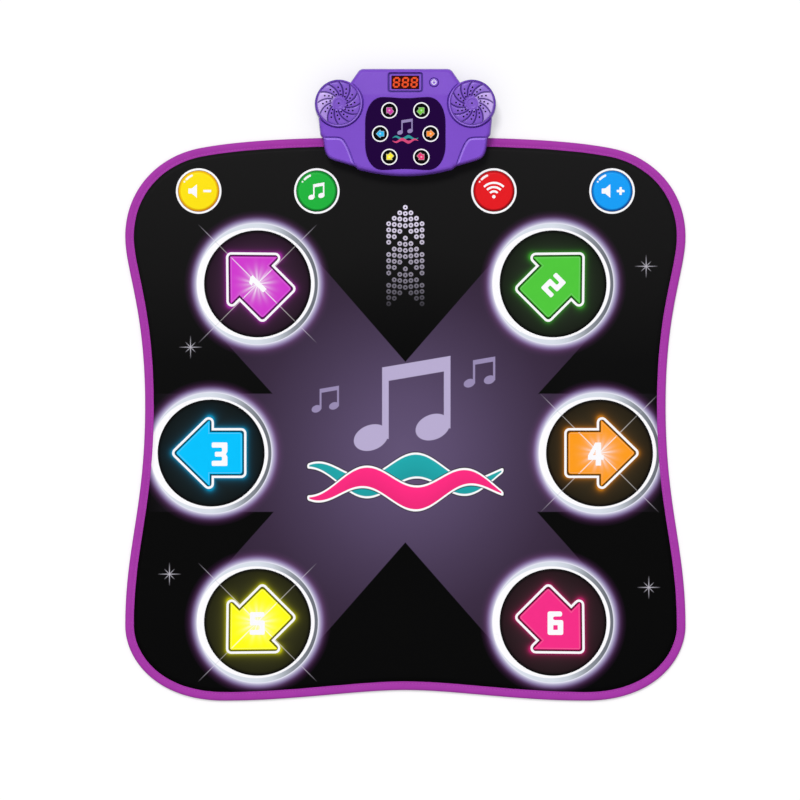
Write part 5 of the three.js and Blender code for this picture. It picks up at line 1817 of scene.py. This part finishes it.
def add_button():
    """The power button with its sign."""
    cap = band_lathe([
        (2.0, -11.0), (2.0, -4.1), (7.2, -4.1), (7.2, -2.9), (5.7, -2.9), (5.7, 0.35),
        (5.55, 0.65), (5.2, 0.85), (4.4, 0.9), (0.6, 0.9),
    ])
    add_piece("power_cap", cap, "shell_purple", CAP, ("power_button",), "power", crease=35)
    x, y = BUTTON_PLACE
    marks = [fan(2.35, 3.35, 125, 415, x, y, 40), rounded(rectangle(0.5, 1.7, x, y + 2.4), 0.3, 3)]
    white = printed("cap_ink", WHITE, 0.3)
    band_print("power_sign", marks, 0.88, 0.98, "print_white", white, (), "power")


# Hidden and underside parts


def add_back_shell():
    """The tray, rounded like the front shell at its corners and its foot, with a groove
    round the battery door."""
    node = nodes["back_shell"]
    tray = add_object("solid", node.data.copy())
    tray.data.materials.clear()
    tray.data.transform(Matrix.Scale(1 / MM, 4) @ node.matrix_world)
    tool = solid(stack([(box_edge(1.56), -1), (box_edge(1.56), 0.02), (box_edge(0.02), 3),
                        (box_edge(0.02), 12)]))
    for _, side in SIDES:
        pod = [(32.55, -1), (32.55, 0.02), (34.05, 3), (34.05, 12)]
        join(tool, lathe(pod, FACETS, side * POD_X, POD_Y))
    combine(tray, tool, "INTERSECT")
    inner, outer = [rounded(rectangle(30.6 + more, 24.2 + more, 0, 384.89), 3, 4)
                    for more in (0.0, 1.0)]
    cut(tray, stack([(inner, 0.25), (inner, -1), (outer, -1), (outer, 0.25)], ring=True))
    release(tray, "back_shell_moulding", BACK, ("back_shell",))


def add_door_grip():
    """Ribs and a thumb mark moulded on the battery door."""
    low, high = 0.06, 0.32
    places = [369.0 + 2.4 * row for row in range(5)]
    grip = [stack([(rounded(rectangle(9.0, 0.5, 0, y), 0.45, 3), high),
                   (rounded(rectangle(8.8, 0.3, 0, y), 0.28, 3), low)]) for y in places]
    grip.append(stack([([(-4.2, 385.6), (4.2, 385.6), (0, 391.0)], high),
                       ([(-3.6, 385.9), (3.6, 385.9), (0, 390.4)], low)]))
    add_piece("battery_door_grip", flipped(joined(*grip)), "shell_dark_purple", DOOR, body="door")


def add_screws():
    """Pan-head screws with a cross recess and a thread."""
    profile = [(1.2, 1.7), (2.1, 1.78), (2.7, 2.1), (3.0, 2.6), (3.1, 3.2), (3.05, 3.7), (1.4, 3.7)]
    for turn in range(13):
        z = 4.2 + turn
        profile += [(1.15, z), (1.42, z + 0.35), (1.42, z + 0.45), (1.15, z + 0.8)]
    profile += [(0.9, 17.4), (0.2, 18.6)]
    for number, (x, y) in enumerate(SCREW_PLACES, 1):
        screw = solid(lathe(profile, 32, x, y))
        for half_width, half_length in ((1.75, 0.38), (0.38, 1.75)):
            mouth = rectangle(half_width, half_length, x, y)
            floor = rectangle(half_width * 0.7, half_length * 0.7, x, y)
            cut(screw, stack([(mouth, 1.0), (floor, 2.9)]))
        release(screw, f"screw_{number}", STEEL, (f"case_screw_{number}",))


def add_plain_parts():
    add_back_shell()
    add_door_grip()
    add_screws()
    dress("battery_door", DOOR)
    dress("main_board", board_material())
    for name, material, colour, roughness in (
            ("lower_contact_film", "contact_film", (0.27, 0.29, 0.31), 0.4),
            ("ribbon_tail", "printed_tail", (0.56, 0.58, 0.62), 0.4),
            ("display_module", "module_black", (0.02, 0.02, 0.02), 0.3),
            ("power_switch", "switch_black", (0.03, 0.03, 0.032), 0.5)):
        dress(name, plastic(material, colour, roughness))
    for number in (1, 2, 3):
        dress(f"battery_{number}", battery_material())
    for label, _ in SIDES:
        dress(f"battery_contact_{label}", STEEL)


def board_material():
    shader = Shader("circuit_board", 0.4, 0.5)
    traces = shader.cells(3.2)
    face = shader.mix(traces.under(0.28, 0.06), (0.012, 0.12, 0.035), (0.03, 0.22, 0.07))
    return shader.finish(face, None, (traces, 0.04))


def battery_material():
    """A printed sleeve with a lighter band towards one end."""
    shader = Shader("cell_sleeve", 0.3, 0.5)
    x, _, _ = shader.place()
    sleeve = shader.mix(x.under(-14.0, 0.3), linear(40, 104, 170), linear(196, 190, 176))
    face = shader.mix(shader.noise(5.0, 3.0) * 0.2, sleeve, (0.02, 0.02, 0.02))
    return shader.finish(face, None, (shader.noise(1.0, 3.0), 0.02))


# Light and camera


def seen_rays(tree):
    """1 for rays from the camera, off a glossy surface or through a clear one, else 0."""
    path = tree.nodes.new("ShaderNodeLightPath")
    kinds = ("Is Camera Ray", "Is Glossy Ray", "Is Transmission Ray")
    return reduce(Field.high, [Field(tree, path.outputs[kind]) for kind in kinds])


def add_stage():
    """A floor that takes the shadow and looks white."""
    mesh = bpy.data.meshes.new("floor")
    mesh.from_pydata(at_height(rectangle(2.5, 2.5), -0.0004), [], [(0, 1, 2, 3)])
    shader = Shader("floor_white", 0.9, 0.0)
    shader.set("Base Color", (0.6, 0.6, 0.6))
    shader.set("Emission Color", (1.0, 1.0, 1.0))
    shader.set("Emission Strength", seen_rays(shader.tree) * 0.4)
    mesh.materials.append(shader.material)
    add_object("floor", mesh)


def add_light():
    """A white sky that is stronger overhead, and a soft lamp."""
    world = bpy.data.worlds.new("studio")
    bpy.context.scene.world = world
    world.use_nodes = True
    tree = world.node_tree
    background = tree.nodes["Background"]
    background.inputs["Color"].default_value = (1, 1, 1, 1)
    seen = seen_rays(tree)
    facing = tree.nodes.new("ShaderNodeSeparateXYZ")
    tree.links.new(tree.nodes.new("ShaderNodeTexCoord").outputs["Generated"], facing.inputs[0])
    overhead = Field(tree, facing.outputs["Z"]).high(0.0).scale(0.48, 0.28)
    strength = seen + (seen * -1.0 + 1.0) * overhead
    tree.links.new(strength.socket, background.inputs["Strength"])
    lamp = bpy.data.lights.new("key", "SUN")
    lamp.energy = 1.57
    lamp.angle = math.radians(16)
    add_object("key", lamp).rotation_euler = (math.radians(-28), math.radians(-9), 0)


def add_camera():
    """A camera so high that its view is nearly parallel."""
    height, view = 25.0, 1.1209
    lens = bpy.data.cameras.new("camera")
    lens.sensor_width = 36.0
    lens.lens = lens.sensor_width * height / view
    lens.clip_end = 100.0
    camera = add_object("camera", lens)
    camera.location = (-0.0075, -0.0212, height)
    bpy.context.scene.camera = camera


# The shell's pod rims carry painted shade and a painted highlight
SHELL = plastic("shell_moulding", SHELL_COLOUR, 0.42, 0.14, edge=0.35, shade=paint_rim_shade_and_highlight)
SHELL_PANEL = plastic("panel_moulding", scaled(SHELL_COLOUR, 1.1), 0.42, 0.14, edge=0.35)
# Painted highlight on the corner panels' bevels
SHELL_HIGHLIGHT = plastic("highlight_moulding", HIGHLIGHT_COLOUR, 0.38, 0.14, edge=0.35)
# Painted shade in the grooves round the display and the button
SHELL_GROOVE_SHADE = plastic("groove_shade_moulding", GROOVE_SHADE_COLOUR, 0.42, 0.14, edge=0.35)
BACK = plastic("back_moulding", SHELL_DARK, 0.42, 0.3, edge=0.5)
DOOR = plastic("door_moulding", SHELL_DARK, 0.45, 0.3, edge=0.4)
CAP = plastic("cap_moulding", linear(125, 80, 200), 0.3, 0.3)
DRIVER = plastic("driver_paper", (0.012, 0.012, 0.013), 0.8)
CARBON = plastic("contact_carbon", (0.02, 0.02, 0.022), 0.6)
LAMP = plastic("lamp_chip", (0.85, 0.8, 0.6), 0.35)
LENS = polished("lens_smoke", linear(31, 1, 58), 0.16, 0.03)
PANE = polished("pane_smoke", linear(50, 5, 5), 0.14, 0.03)
STEEL = metal("plated_steel", (0.62, 0.62, 0.6), 0.3)

add_camera()
add_light()
add_stage()
cover, cloth, core, spacer = add_mat()
tape = add_binding()
add_pads()
add_keys()
add_front_shell()
add_grilles()
add_lens()
add_display()
add_button()
add_plain_parts()

bpy.context.scene.view_settings.view_transform = "Standard"
